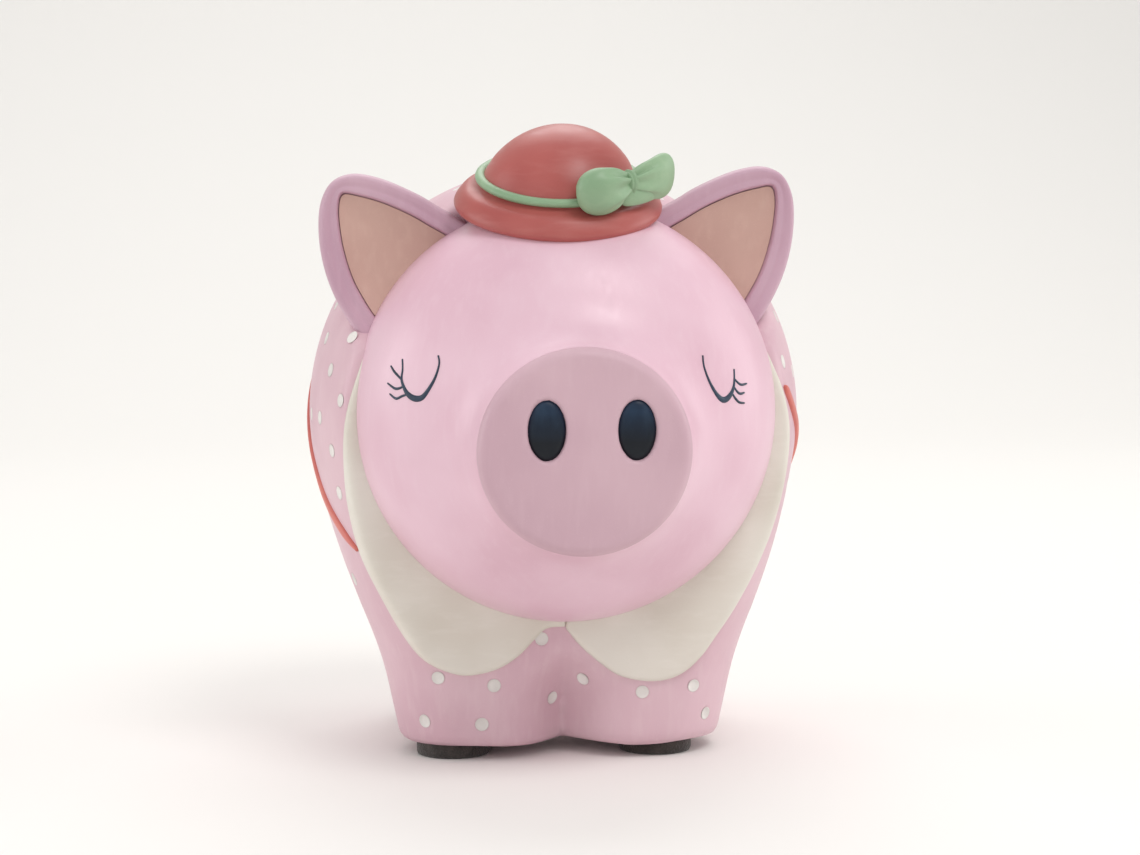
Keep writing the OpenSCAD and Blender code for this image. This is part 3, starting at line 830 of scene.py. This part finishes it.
def strapPiece(name, route):
    path = smoothLine(route, 14)
    line = bodySurface(path[:, 0], path[:, 1])
    out = unit(slopeOf(dressOutside, line))
    aside = unit(np.cross(alongLine(line), out))
    rings = []
    section = [(-1, -1), (-1, 0.1), (-0.86, 0.72), (-0.5, 0.97), (0, 1), (0.5, 0.97), (0.86, 0.72), (1, 0.1),
               (1, -1)]
    wide = strap["width"] / 2 * np.clip(np.arange(len(line)) / len(line) / strap["taper"], 0.12, 1) ** 0.6
    for i in range(len(line)):
        ring = [line[i] + aside[i] * a * wide[i]
                + out[i] * (b * strap["rise"] if b > 0 else b * strap["sink"]) for a, b in section]
        rings.append(ring)
    return loftPiece(name, rings)


strapPieces = joined("bag_strap_band", [strapPiece("strap", strap[run]) for run in ("front", "back")])
finish(strapPieces, paints["coralPaint"], ["bag_strap"])

bag = {"angle": 122, "y": 32, "turn": -14, "width": 28, "height": 20, "thick": 5.0, "corner": 5.0,
       "flapRise": 1.5, "step": 0.8}
bagSurface = bodySurface([bag["angle"]], [bag["y"]])[0]
bagA = math.radians(bag["angle"])
bagOut = np.array([math.sin(bagA), 0, math.cos(bagA)])
bagUp = np.array([-math.cos(bagA), 0, math.sin(bagA)])
bagAlong = np.array([0.0, 1.0, 0.0])
lean = math.radians(bag["turn"])
bagOut, bagUp = (bagOut * math.cos(lean) - bagUp * math.sin(lean) * -1,
                 bagUp * math.cos(lean) + bagOut * math.sin(lean) * -1)


def inBag(p):
    q = p - bagSurface
    return q @ bagAlong, q @ bagUp, q @ bagOut


def bagField(p):
    x, y, z = inBag(p)
    r = bag["corner"]
    flat = np.hypot(np.maximum(np.abs(x) - bag["width"] / 2 + r, 0),
                    np.maximum(np.abs(y) - bag["height"] / 2 + r, 0)) - r
    puff = bag["thick"] - 1.6 * ((x / bag["width"] * 2) ** 2 + (y / bag["height"] * 2) ** 2) * 0.5
    f = smoothMax(flat, z - puff, 2.6)
    f = smoothMax(f, -3 - z, 1)
    return np.maximum(f, -dressOutside(p) - 0.6)


def flapField(p):
    x, y, z = inBag(p)
    r = bag["corner"]
    flat = np.hypot(np.maximum(np.abs(x) - bag["width"] / 2 - 0.3 + r, 0),
                    np.maximum(np.abs(y) - bag["height"] / 2 - 0.3 + r, 0)) - r
    puff = (bag["thick"] + bag["flapRise"]
            - 1.6 * ((x / bag["width"] * 2) ** 2 + (y / bag["height"] * 2) ** 2) * 0.5)
    hem = -1.5 - 2.4 * np.cos(np.clip(x / bag["width"] * 2, -1, 1) * math.pi / 2) - y
    f = smoothMax(smoothMax(flat, z - puff, 1.8), hem, 0.9)
    return np.maximum(smoothMax(f, 1.5 - z, 0.6), -dressOutside(p) - 0.4)


bagReach = 20                               # half the box that the bag is meshed in
bagMiddle = bagSurface + bagOut * 2
for name, field, replaced in (("bag_pouch", bagField, ["bag_body"]),
                              ("bag_flap_cover", flapField, ["bag_flap"])):
    piece = fieldPiece(name, field, bagMiddle - bagReach, bagMiddle + bagReach, bag["step"])
    finish(piece, paints["coralPaint"], replaced)

claspBase = bagSurface - bagUp * 0.4 + bagOut * (bag["thick"] + bag["flapRise"] - 0.5)


def onClasp(ring):
    return claspBase + ring[:, :1] * bagAlong + ring[:, 1:2] * bagUp + ring[:, 2:3] * bagOut


claspProfile = [(0.4, -0.4), (2.0, -0.4), (2.2, 0.1), (2.1, 0.6), (1.8, 0.85), (1.5, 0.8), (1.3, 0.62),
                (1.0, 0.72), (0.5, 0.95), (0.15, 1.0)]
clasp = lathePiece("bag_clasp_button", claspProfile, onClasp, 36)
finish(clasp, paints["claspPaint"], ["bag_clasp"])

tail = {"curl": [(0, -4, -0.5), (0, 1, 0.5), (4, 4, 3), (5, 5.5, 8.5), (0, 6.5, 11.5), (-4.8, 7.2, 8.5),
                 (-3.5, 7.8, 3.6), (0.6, 8.2, 2.6)],
        "radius": (2.9, 1.25)}
tailRoot = np.array([0, bodyHigh[1], axisZ + 10])


def tubePiece(name, path, radii, count=18):
    ahead = alongLine(path)
    across = np.cross(ahead[0], [1, 0, 0])
    rings = []
    turn = np.linspace(0, 2 * math.pi, count, endpoint=False)
    for i in range(len(path)):
        across = unit(across - ahead[i] * (across @ ahead[i]))
        other = np.cross(ahead[i], across)
        rings.append(path[i] + radii[i] * (np.outer(np.cos(turn), across) + np.outer(np.sin(turn), other)))
    return loftPiece(name, rings)


tailPath = smoothLine(tailRoot + np.array(tail["curl"]), 10)
s = np.linspace(0, 1, len(tailPath))
tailRadii = tail["radius"][0] + (tail["radius"][1] - tail["radius"][0]) * s
tailRadii = tailRadii * np.sqrt(np.clip(1 - np.clip((s - 0.965) / 0.0352, 0, 1) ** 2, 0, 1)) + 0.02
tailRadii = tailRadii + 1.6 * np.exp(-(s / 0.1) ** 2)
finish(tubePiece("tail_curl", tailPath, tailRadii), paints["skinPaint"], ["tail"])
print("bag and tail made")


# the dots are dimples in the dress, each with a painted dish in it
dots = {
    "radius": 2.1, "dish": 1.9, "depth": 0.62, "gap": 15.7, "seed": 4,
    "legRows": (20.6, 9.8), "frontTurn": 47, "hindTurn": 52, "hindTop": 31, "lowest": 136, "apart": 9.5,
    # x, z seen from the front
    "front": [(-34.9, 23.2), (-19.8, 21), (-38.3, 10.6), (-23.1, 10.4), (-6.9, 33.6), (-3.1, 15.8),
              (4.8, 21.5), (20.6, 18.5), (34.9, 19.7), (38.9, 11.2)],
    "flank": [(-78, -17.5), (-84.5, -27), (-90, -12), (-97.5, -20.5), (-108, -20.5), (-71.5, -5)],  # angle, y
}


def rayHits(starts, rays, field, reach):
    low, high = np.zeros(len(starts)), np.full(len(starts), float(reach))
    for _ in range(36):
        middle = (low + high) / 2
        isIn = field(starts + rays * middle[:, None]) < 0
        low, high = np.where(isIn, middle, low), np.where(isIn, high, middle)
    return starts + rays * low[:, None]


def dotPlaces():
    flank = np.array(dots["flank"])
    places = [bodySurface(flank[:, 0], flank[:, 1])]
    # front legs: the ones at the front listed one by one, then staggered rows round the sides and back
    seen = np.array([(x, 0, z) for x, z in dots["front"]], float)
    places.append(rayHits(seen, np.tile([0.0, -1.0, 0.0], (len(seen), 1)), dressOutside, 45))
    for side, starts in ((-1, (-38.6, -50)), (1, (-51, -38))):
        for z, first in zip(dots["legRows"], starts):
            turn = np.radians(first + dots["frontTurn"] * np.arange(2, 7))
            foot = np.array([side * dress["frontFoot"][0], dress["frontFoot"][1], z])
            foot[0] += side * (z - 3) * math.tan(math.radians(dress["frontLean"]))
            rays = np.stack([np.sin(turn), -np.cos(turn), 0 * turn], 1)
            places.append(rayHits(np.tile(foot, (5, 1)), rays, frontLegs, 40))
    for side in (-1, 1):
        for z, first in zip((dots["hindTop"], *dots["legRows"]), (10, 36, 10)):
            turn = np.radians(first + dots["hindTurn"] * np.arange(7))
            foot = np.array([side * dress["hindFoot"][0], dress["hindFoot"][1], z])
            rays = np.stack([side * np.sin(turn), np.cos(turn), 0 * turn], 1)
            places.append(rayHits(np.tile(foot, (7, 1)), rays, hindLegs, 30))
    # body: rings along the length, each with a whole number of gaps
    # the rings are evenly spaced along the outline, so that the blunt rump gets its share
    t = np.linspace(0, math.pi / 2, 300)
    backY = dress["midY"] + dress["rump"][0] * np.sin(t) ** (2 / dress["rump"][1])
    frontY = np.linspace(seamY + 5, dress["midY"], 60)
    frontR = bodyR * np.sqrt(1 - ((frontY - dress["midY"]) / dress["chest"][0]) ** 2)
    lineY = np.append(frontY, backY[1:])
    lineR = np.append(frontR, bodyR * np.cos(t[1:]) ** (2 / dress["rump"][1]))
    run = np.append(0, np.cumsum(np.hypot(np.diff(lineY), np.diff(lineR))))
    for k, at in enumerate(np.arange(0, run[-1] - 6, dots["gap"] * 0.84)):
        y, ringR = np.interp(at, run, lineY), np.interp(at, run, lineR)
        count = max(3, round(2 * math.pi * ringR / dots["gap"]))
        angle = (np.arange(count) + 0.5 * (k % 2) + 0.25) * 360 / count
        angle = (angle + 180) % 360 - 180
        angle = angle[(np.abs(angle) < dots["lowest"]) | (y > 60)]      # no legs that far back
        places.append(bodySurface(angle, np.full(len(angle), y)))
    return np.concatenate(places)


def clearDots(places):
    x, y, z = places.T
    keep = headField(places) > 2.2
    byHand = np.arange(len(places)) < len(dots["flank"]) + len(dots["front"])
    for side in (1, -1):
        keep &= (collarField(places, side) > 2.6) | byHand
    keep &= ~((np.hypot(x, z - axisZ - 10) < 7) & (y > 58))
    keep &= ~((np.abs(x) < 6) & (np.abs(y - dress["slotY"]) < 22) & (z > axisZ))
    keep &= np.linalg.norm(places - hatAt, axis=1) > 31
    keep &= np.hypot(x - stopperAt[0], y - stopperAt[1]) + (z > 45) * 99 > flangeR + 4
    keep &= np.linalg.norm(places - bagMiddle, axis=1) > 19.5
    earLine = smoothLine(ear["outer"], 4, True)
    keep &= (polygonField(np.abs(x), z, earLine) > 2) | (np.abs(y - ear["y"]) > 9)
    for route in (strap["front"], strap["back"]):
        path = smoothLine(route, 10)
        line = bodySurface(path[:, 0], path[:, 1])
        keep &= np.linalg.norm(places[:, None] - line[None], axis=2).min(1) > 4.6
    kept = []
    for p in places[keep]:
        if all(np.linalg.norm(p - q) > dots["apart"] for q in kept):
            kept.append(p)
    return np.array(kept)


dotAt = pullOnto(dressOutside, clearDots(dotPlaces()), 6, 2.0)
dotAim = unit(slopeOf(dressOutside, dotAt))
print("dots:", len(dotAt))


def dimpledField(p):
    f = dressField(p)
    away = np.full(len(p), 1e3)
    for centre in dotAt:
        away = np.minimum(away, np.linalg.norm(p - centre, axis=1))
    t = np.clip((away / dots["radius"] - 0.5) / 0.5, 0, 1)
    return f + dots["depth"] * (1 - t * t * (3 - 2 * t))


def dressPiece():
    verts, faces = netSurface(dressField, (-73, -35, 1), (73, 72, 164), dress["step"])
    piece = newPiece("dress", pullOnto(dressField, verts, most=dress["step"] * 0.6), faces)
    bm = bmesh.new()
    bm.from_mesh(piece.data)
    tree = KDTree(len(dotAt))
    for i, centre in enumerate(dotAt):
        tree.insert(centre * mm, i)
    tree.balance()
    near = {v for v in bm.verts if tree.find(v.co)[2] < (dots["radius"] + 1.7) * mm}
    edges = [e for e in bm.edges if e.verts[0] in near and e.verts[1] in near]
    bmesh.ops.subdivide_edges(bm, edges=edges, cuts=3, use_grid_fill=True)
    bmesh.ops.triangulate(bm, faces=[f for f in bm.faces if len(f.verts) > 4])
    bm.to_mesh(piece.data)
    bm.free()
    co = np.empty(len(piece.data.vertices) * 3)
    piece.data.vertices.foreach_get("co", co)
    co = co.reshape(-1, 3) / mm
    kd = np.array([tree.find(Vector(c * mm))[2] / mm for c in co])
    close = kd < dots["radius"] + 3
    co[close] = pullOnto(dimpledField, co[close], 4, 0.5)
    piece.data.vertices.foreach_set("co", (co * mm).ravel())
    piece.data.update()
    piece.data.shade_smooth()
    return piece


dressMesh = dressPiece()
finish(dressMesh, paints["dressPaint"],
       ["body_shell", "leg_front_left", "leg_front_right", "leg_hind_left", "leg_hind_right"])
print("dress made:", len(dressMesh.data.polygons), "faces")


def addSocket(tree, name, kind, value, low=0.0, high=1.0):
    socket = tree.interface.new_socket(name=name, in_out="INPUT", socket_type=kind)
    socket.default_value = value
    if kind != "NodeSocketVector":
        socket.min_value, socket.max_value = low, high
    return socket


def strewnTree(name, material, shape):
    # puts one small shape on every point, turned to the point's aim and along attributes
    tree = bpy.data.node_groups.new(name, "GeometryNodeTree")
    tree.is_modifier = True
    tree.interface.new_socket(name="Points", in_out="INPUT", socket_type="NodeSocketGeometry")
    addSocket(tree, "Radius", "NodeSocketFloat", 0.0015, 0.0, 0.1)
    addSocket(tree, "Depth", "NodeSocketFloat", 0.0006, 0.0, 0.1)
    addSocket(tree, "Lift", "NodeSocketFloat", 0.00005, -0.01, 0.01)
    addSocket(tree, "Spread", "NodeSocketFloat", 0.06, 0.0, 0.5)
    addSocket(tree, "Seed", "NodeSocketInt", 1, 0, 1000)
    tree.interface.new_socket(name="Pieces", in_out="OUTPUT", socket_type="NodeSocketGeometry")
    new, link = tree.nodes.new, tree.links.new
    source, target = new("NodeGroupInput"), new("NodeGroupOutput")

    def math2(operation, a, b):
        node = new("ShaderNodeMath")
        node.operation = operation
        for socket, value in zip(node.inputs, (a, b)):
            if hasattr(value, "is_output"):
                link(value, socket)
            else:
                socket.default_value = value
        return node.outputs[0]

    ball = new("GeometryNodeMeshUVSphere")
    ball.inputs["Segments"].default_value = 14 if shape == "dish" else 8
    ball.inputs["Rings"].default_value = 8 if shape == "dish" else 5
    link(source.outputs["Radius"], ball.inputs["Radius"])
    at = new("GeometryNodeInputPosition")
    split = new("ShaderNodeSeparateXYZ")
    link(at.outputs[0], split.inputs[0])
    join = new("ShaderNodeCombineXYZ")
    place = new("GeometryNodeSetPosition")
    link(ball.outputs["Mesh"], place.inputs["Geometry"])
    link(join.outputs[0], place.inputs["Position"])
    if shape == "dish":
        # a thin lens, sunk in the middle and risen at its edge like the dimple it lies in
        away = math2("SQRT", math2("ADD", math2("MULTIPLY", split.outputs[0], split.outputs[0]),
                                   math2("MULTIPLY", split.outputs[1], split.outputs[1])), 0.0)
        sink = new("ShaderNodeMapRange")
        sink.interpolation_type = "SMOOTHSTEP"
        link(away, sink.inputs["Value"])
        link(math2("MULTIPLY", source.outputs["Radius"], 0.56), sink.inputs["From Min"])
        link(math2("MULTIPLY", source.outputs["Radius"], 1.12), sink.inputs["From Max"])
        link(math2("MULTIPLY", source.outputs["Depth"], -1.0), sink.inputs["To Min"])
        sink.inputs["To Max"].default_value = 0.0
        height = math2("ADD", math2("ADD", math2("MULTIPLY", split.outputs[2], 0.06), sink.outputs["Result"]),
                       source.outputs["Lift"])
        link(split.outputs[0], join.inputs[0])
        link(split.outputs[1], join.inputs[1])
        link(height, join.inputs[2])
    else:
        # a short thread that stands up from the cloth
        link(math2("MULTIPLY", split.outputs[0], 2.6), join.inputs[0])
        link(split.outputs[1], join.inputs[1])
        link(math2("ADD", math2("MULTIPLY", split.outputs[2], 0.8), source.outputs["Lift"]), join.inputs[2])
    smooth = new("GeometryNodeSetShadeSmooth")
    link(place.outputs["Geometry"], smooth.inputs["Geometry"])
    strew = new("GeometryNodeInstanceOnPoints")
    link(source.outputs["Points"], strew.inputs["Points"])
    link(smooth.outputs["Geometry"], strew.inputs["Instance"])
    turns = None
    for attribute, axis in (("aim", "Z"), ("along", "X")):
        named = new("GeometryNodeInputNamedAttribute")
        named.data_type = "FLOAT_VECTOR"
        named.inputs["Name"].default_value = attribute
        align = new("FunctionNodeAlignRotationToVector")
        align.axis = axis
        if turns is not None:
            align.pivot_axis = "Z"
            link(turns, align.inputs["Rotation"])
        link(named.outputs["Attribute"], align.inputs["Vector"])
        turns = align.outputs["Rotation"]
    link(turns, strew.inputs["Rotation"])
    vary = new("FunctionNodeRandomValue")
    vary.data_type = "FLOAT"
    link(math2("SUBTRACT", 1.0, source.outputs["Spread"]), vary.inputs[2])
    vary.inputs[3].default_value = 1.0
    link(source.outputs["Seed"], vary.inputs["Seed"])
    link(vary.outputs[1], strew.inputs["Scale"])
    real = new("GeometryNodeRealizeInstances")
    link(strew.outputs["Instances"], real.inputs["Geometry"])
    paintOn = new("GeometryNodeSetMaterial")
    paintOn.inputs["Material"].default_value = material
    link(real.outputs["Geometry"], paintOn.inputs["Geometry"])
    link(paintOn.outputs["Geometry"], target.inputs["Pieces"])
    return tree


def strewnPiece(name, points, aims, alongs, tree, values):
    mesh = bpy.data.meshes.new(name + "_points")
    mesh.from_pydata((points * mm).tolist(), [], [])
    for attribute, vectors in (("aim", aims), ("along", alongs)):
        layer = mesh.attributes.new(attribute, "FLOAT_VECTOR", "POINT")
        layer.data.foreach_set("vector", np.asarray(vectors, np.float32).ravel())
    base = bpy.data.objects.new(name + "_points", mesh)
    bpy.context.scene.collection.objects.link(base)
    modifier = base.modifiers.new("strewn", "NODES")
    modifier.node_group = tree
    for item in tree.interface.items_tree:
        if item.in_out == "INPUT" and item.name in values:
            modifier[item.identifier] = values[item.name]
    depsgraph = bpy.context.evaluated_depsgraph_get()
    made = bpy.data.meshes.new_from_object(base.evaluated_get(depsgraph))
    base.modifiers.remove(modifier)
    bpy.data.objects.remove(base)
    made.name = name
    piece = bpy.data.objects.new(name, made)
    bpy.context.scene.collection.objects.link(piece)
    return piece


anyAlong = unit(np.cross(dotAim, [0.3, 0.2, 1.0]))
dotTree = strewnTree("dot dishes", paints["dotPaint"], "dish")
dotPiece = strewnPiece("dress_dots", dotAt, dotAim, anyAlong, dotTree,
                       {"Radius": dots["dish"] * mm, "Depth": dots["depth"] * mm, "Lift": 0.06 * mm,
                        "Spread": 0.06, "Seed": dots["seed"]})
finish(dotPiece, paints["dotPaint"])


def flapStitches():
    # one row of stitches inside the flap's lower edge
    x = np.linspace(-11.4, 11.4, 17)
    y = -0.4 - 2.4 * np.cos(np.clip(x / bag["width"] * 2, -1, 1) * math.pi / 2)
    points = bagSurface + np.outer(x, bagAlong) + np.outer(y, bagUp) + bagOut * 9
    points = rayHits(points - bagOut * 7, np.tile(bagOut, (len(x), 1)), flapField, 8)
    aims = unit(slopeOf(flapField, points))
    return points, aims, alongLine(points)


points, aims, alongs = flapStitches()
stitchTree = strewnTree("flap stitches", paints["collarPaint"], "thread")
stitches = strewnPiece("bag_flap_stitches", points, aims, alongs, stitchTree,
                       {"Radius": 0.2 * mm, "Depth": 0.0, "Lift": 0.03 * mm, "Spread": 0.1, "Seed": 2})
finish(stitches, paints["collarPaint"])
print("dots and stitches made")


pad = {"radius": 10, "hidden": 1.2, "round": 0.7}


def padPiece(node):
    low, high = nodeBox(node)
    centre = (low + high) / 2
    top = high[2] + pad["hidden"]
    r, e = pad["radius"], pad["round"]

    def place(ring):
        return ring + np.array([centre[0], centre[1], 0])

    profile = [(1, 0), (r * 0.5, 0), (r - e, 0), (r - e * 0.35, e * 0.25), (r, e), (r, top - e),
               (r - e * 0.4, top - 0.1), (r - e, top), (1, top)]
    return lathePiece(node + "_felt", profile, place, 64,
                      lambda t: 0.004 * np.sin(9 * t) + 0.003 * np.sin(17 * t))


for node in ("pad_front_left", "pad_front_right", "pad_hind_left", "pad_hind_right"):
    finish(padPiece(node), paints["padFelt"], [node])

plugR = holeR - 0.06
under = stopperLow[2]
stopperProfile = [(0.5, 1.7), (4, 1.7), (flangeR - 5.6, 1.5), (flangeR - 4.7, 0.5), (flangeR - 4.0, 0.02),
                  (flangeR - 2.6, 0), (flangeR - 2.3, 0.35), (flangeR - 1.9, 0.35), (flangeR - 1.6, 0),
                  (flangeR - 0.7, 0.05), (flangeR - 0.1, 0.6), (flangeR, 1.4), (flangeR, 2.8),
                  (flangeR - 0.3, 2.98), (plugR - 0.3, 3.0), (plugR - 0.5, 3.6), (plugR - 0.6, 5.4),
                  (plugR - 0.1, 6.0), (plugR, 6.6), (plugR - 0.3, 7.2), (plugR - 0.7, 7.6),
                  (plugR - 0.2, 8.4), (plugR - 0.3, 9.4), (plugR - 1.4, 11.2), (plugR - 2.2, 11.9),
                  (plugR - 4, 12), (plugR - 5, 11.2), (plugR - 5.5, 6), (0.5, 5.6)]


def onStopper(ring):
    return ring + np.array([stopperAt[0], stopperAt[1], under])


stopperPiece = lathePiece("stopper_plug", stopperProfile, onStopper, 80)
finish(stopperPiece, paints["stopperRubber"], ["stopper"], "stopper")
print("feet and stopper made")


shot = {"azimuth": -6.0, "down": 5.0, "place": (-79.3, -792.7, 157.9), "lens": 90.4}
camera = bpy.data.objects.new("camera", bpy.data.cameras.new("camera"))
bpy.context.scene.collection.objects.link(camera)
a, e = math.radians(shot["azimuth"]), math.radians(shot["down"])
look = Vector((-math.sin(a) * math.cos(e), math.cos(a) * math.cos(e), -math.sin(e)))
camera.location = Vector(shot["place"]) * mm
camera.rotation_mode = "QUATERNION"
camera.rotation_quaternion = look.to_track_quat("-Z", "Y")
camera.data.lens = shot["lens"]
camera.data.sensor_width = 36
camera.data.clip_start, camera.data.clip_end = 0.05, 50
bpy.context.scene.camera = camera


def floorPiece():
    # a pale sheet that curves up far behind
    rows = [(-3.0, 0), (0.9, 0)]
    rows += [(0.9 + 0.9 * math.sin(t), 0.9 - 0.9 * math.cos(t)) for t in np.linspace(0.1, math.pi / 2, 14)]
    rows.append((1.8, 4.0))
    verts = [(x, y, z) for y, z in rows for x in (-5.0, 5.0)]
    faces = [[2 * i, 2 * i + 1, 2 * i + 3, 2 * i + 2] for i in range(len(rows) - 1)]
    return newPiece("floor", np.array(verts) / mm, faces)


floor = floorPiece()
sheet = bpy.data.materials.new("paleSheet")
sheet.use_nodes = True
sheetShader = sheet.node_tree.nodes["Principled BSDF"]
sheetShader.inputs["Base Color"].default_value = ink("#f1efec")
sheetShader.inputs["Roughness"].default_value = 0.75
sheetShader.inputs["Specular IOR Level"].default_value = 0.2
floor.data.materials.append(sheet)
floor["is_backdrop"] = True

lamps = [  # name, place, size, watts, colour
    ("key", (0.36, -0.62, 1.05), 0.5, 4.2, (1, 0.985, 0.97)),
    ("fill", (-0.9, -0.9, 0.7), 1.0, 1.0, (0.98, 0.99, 1)),
    ("left side", (-1.1, 0.1, 0.35), 0.7, 2.6, (1, 1, 1)),
    ("right side", (1.1, 0.1, 0.35), 0.7, 2.6, (1, 1, 1)),
    ("back", (0.1, 0.9, 1.3), 1.2, 8.0, (1, 1, 1)),
]
aim = Vector((0, 0, 0.09))
for name, place, size, watts, colour in lamps:
    lamp = bpy.data.lights.new(name, "AREA")
    lamp.shape = "DISK"
    lamp.size, lamp.energy, lamp.color = size, watts, colour
    lampObject = bpy.data.objects.new(name, lamp)
    lampObject.location = place
    lampObject.rotation_mode = "QUATERNION"
    lampObject.rotation_quaternion = (aim - Vector(place)).to_track_quat("-Z", "Y")
    bpy.context.scene.collection.objects.link(lampObject)

world = bpy.data.worlds.new("studio")
bpy.context.scene.world = world
world.use_nodes = True
world.node_tree.nodes["Background"].inputs["Color"].default_value = (1, 0.995, 0.985, 1)
world.node_tree.nodes["Background"].inputs["Strength"].default_value = 0.65
bpy.context.scene.view_settings.view_transform = "Standard"
print("camera, floor and light made")

low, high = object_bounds()
{"cad": [list(cadLow), list(cadHigh)], "visual": [list(low), list(high)]}
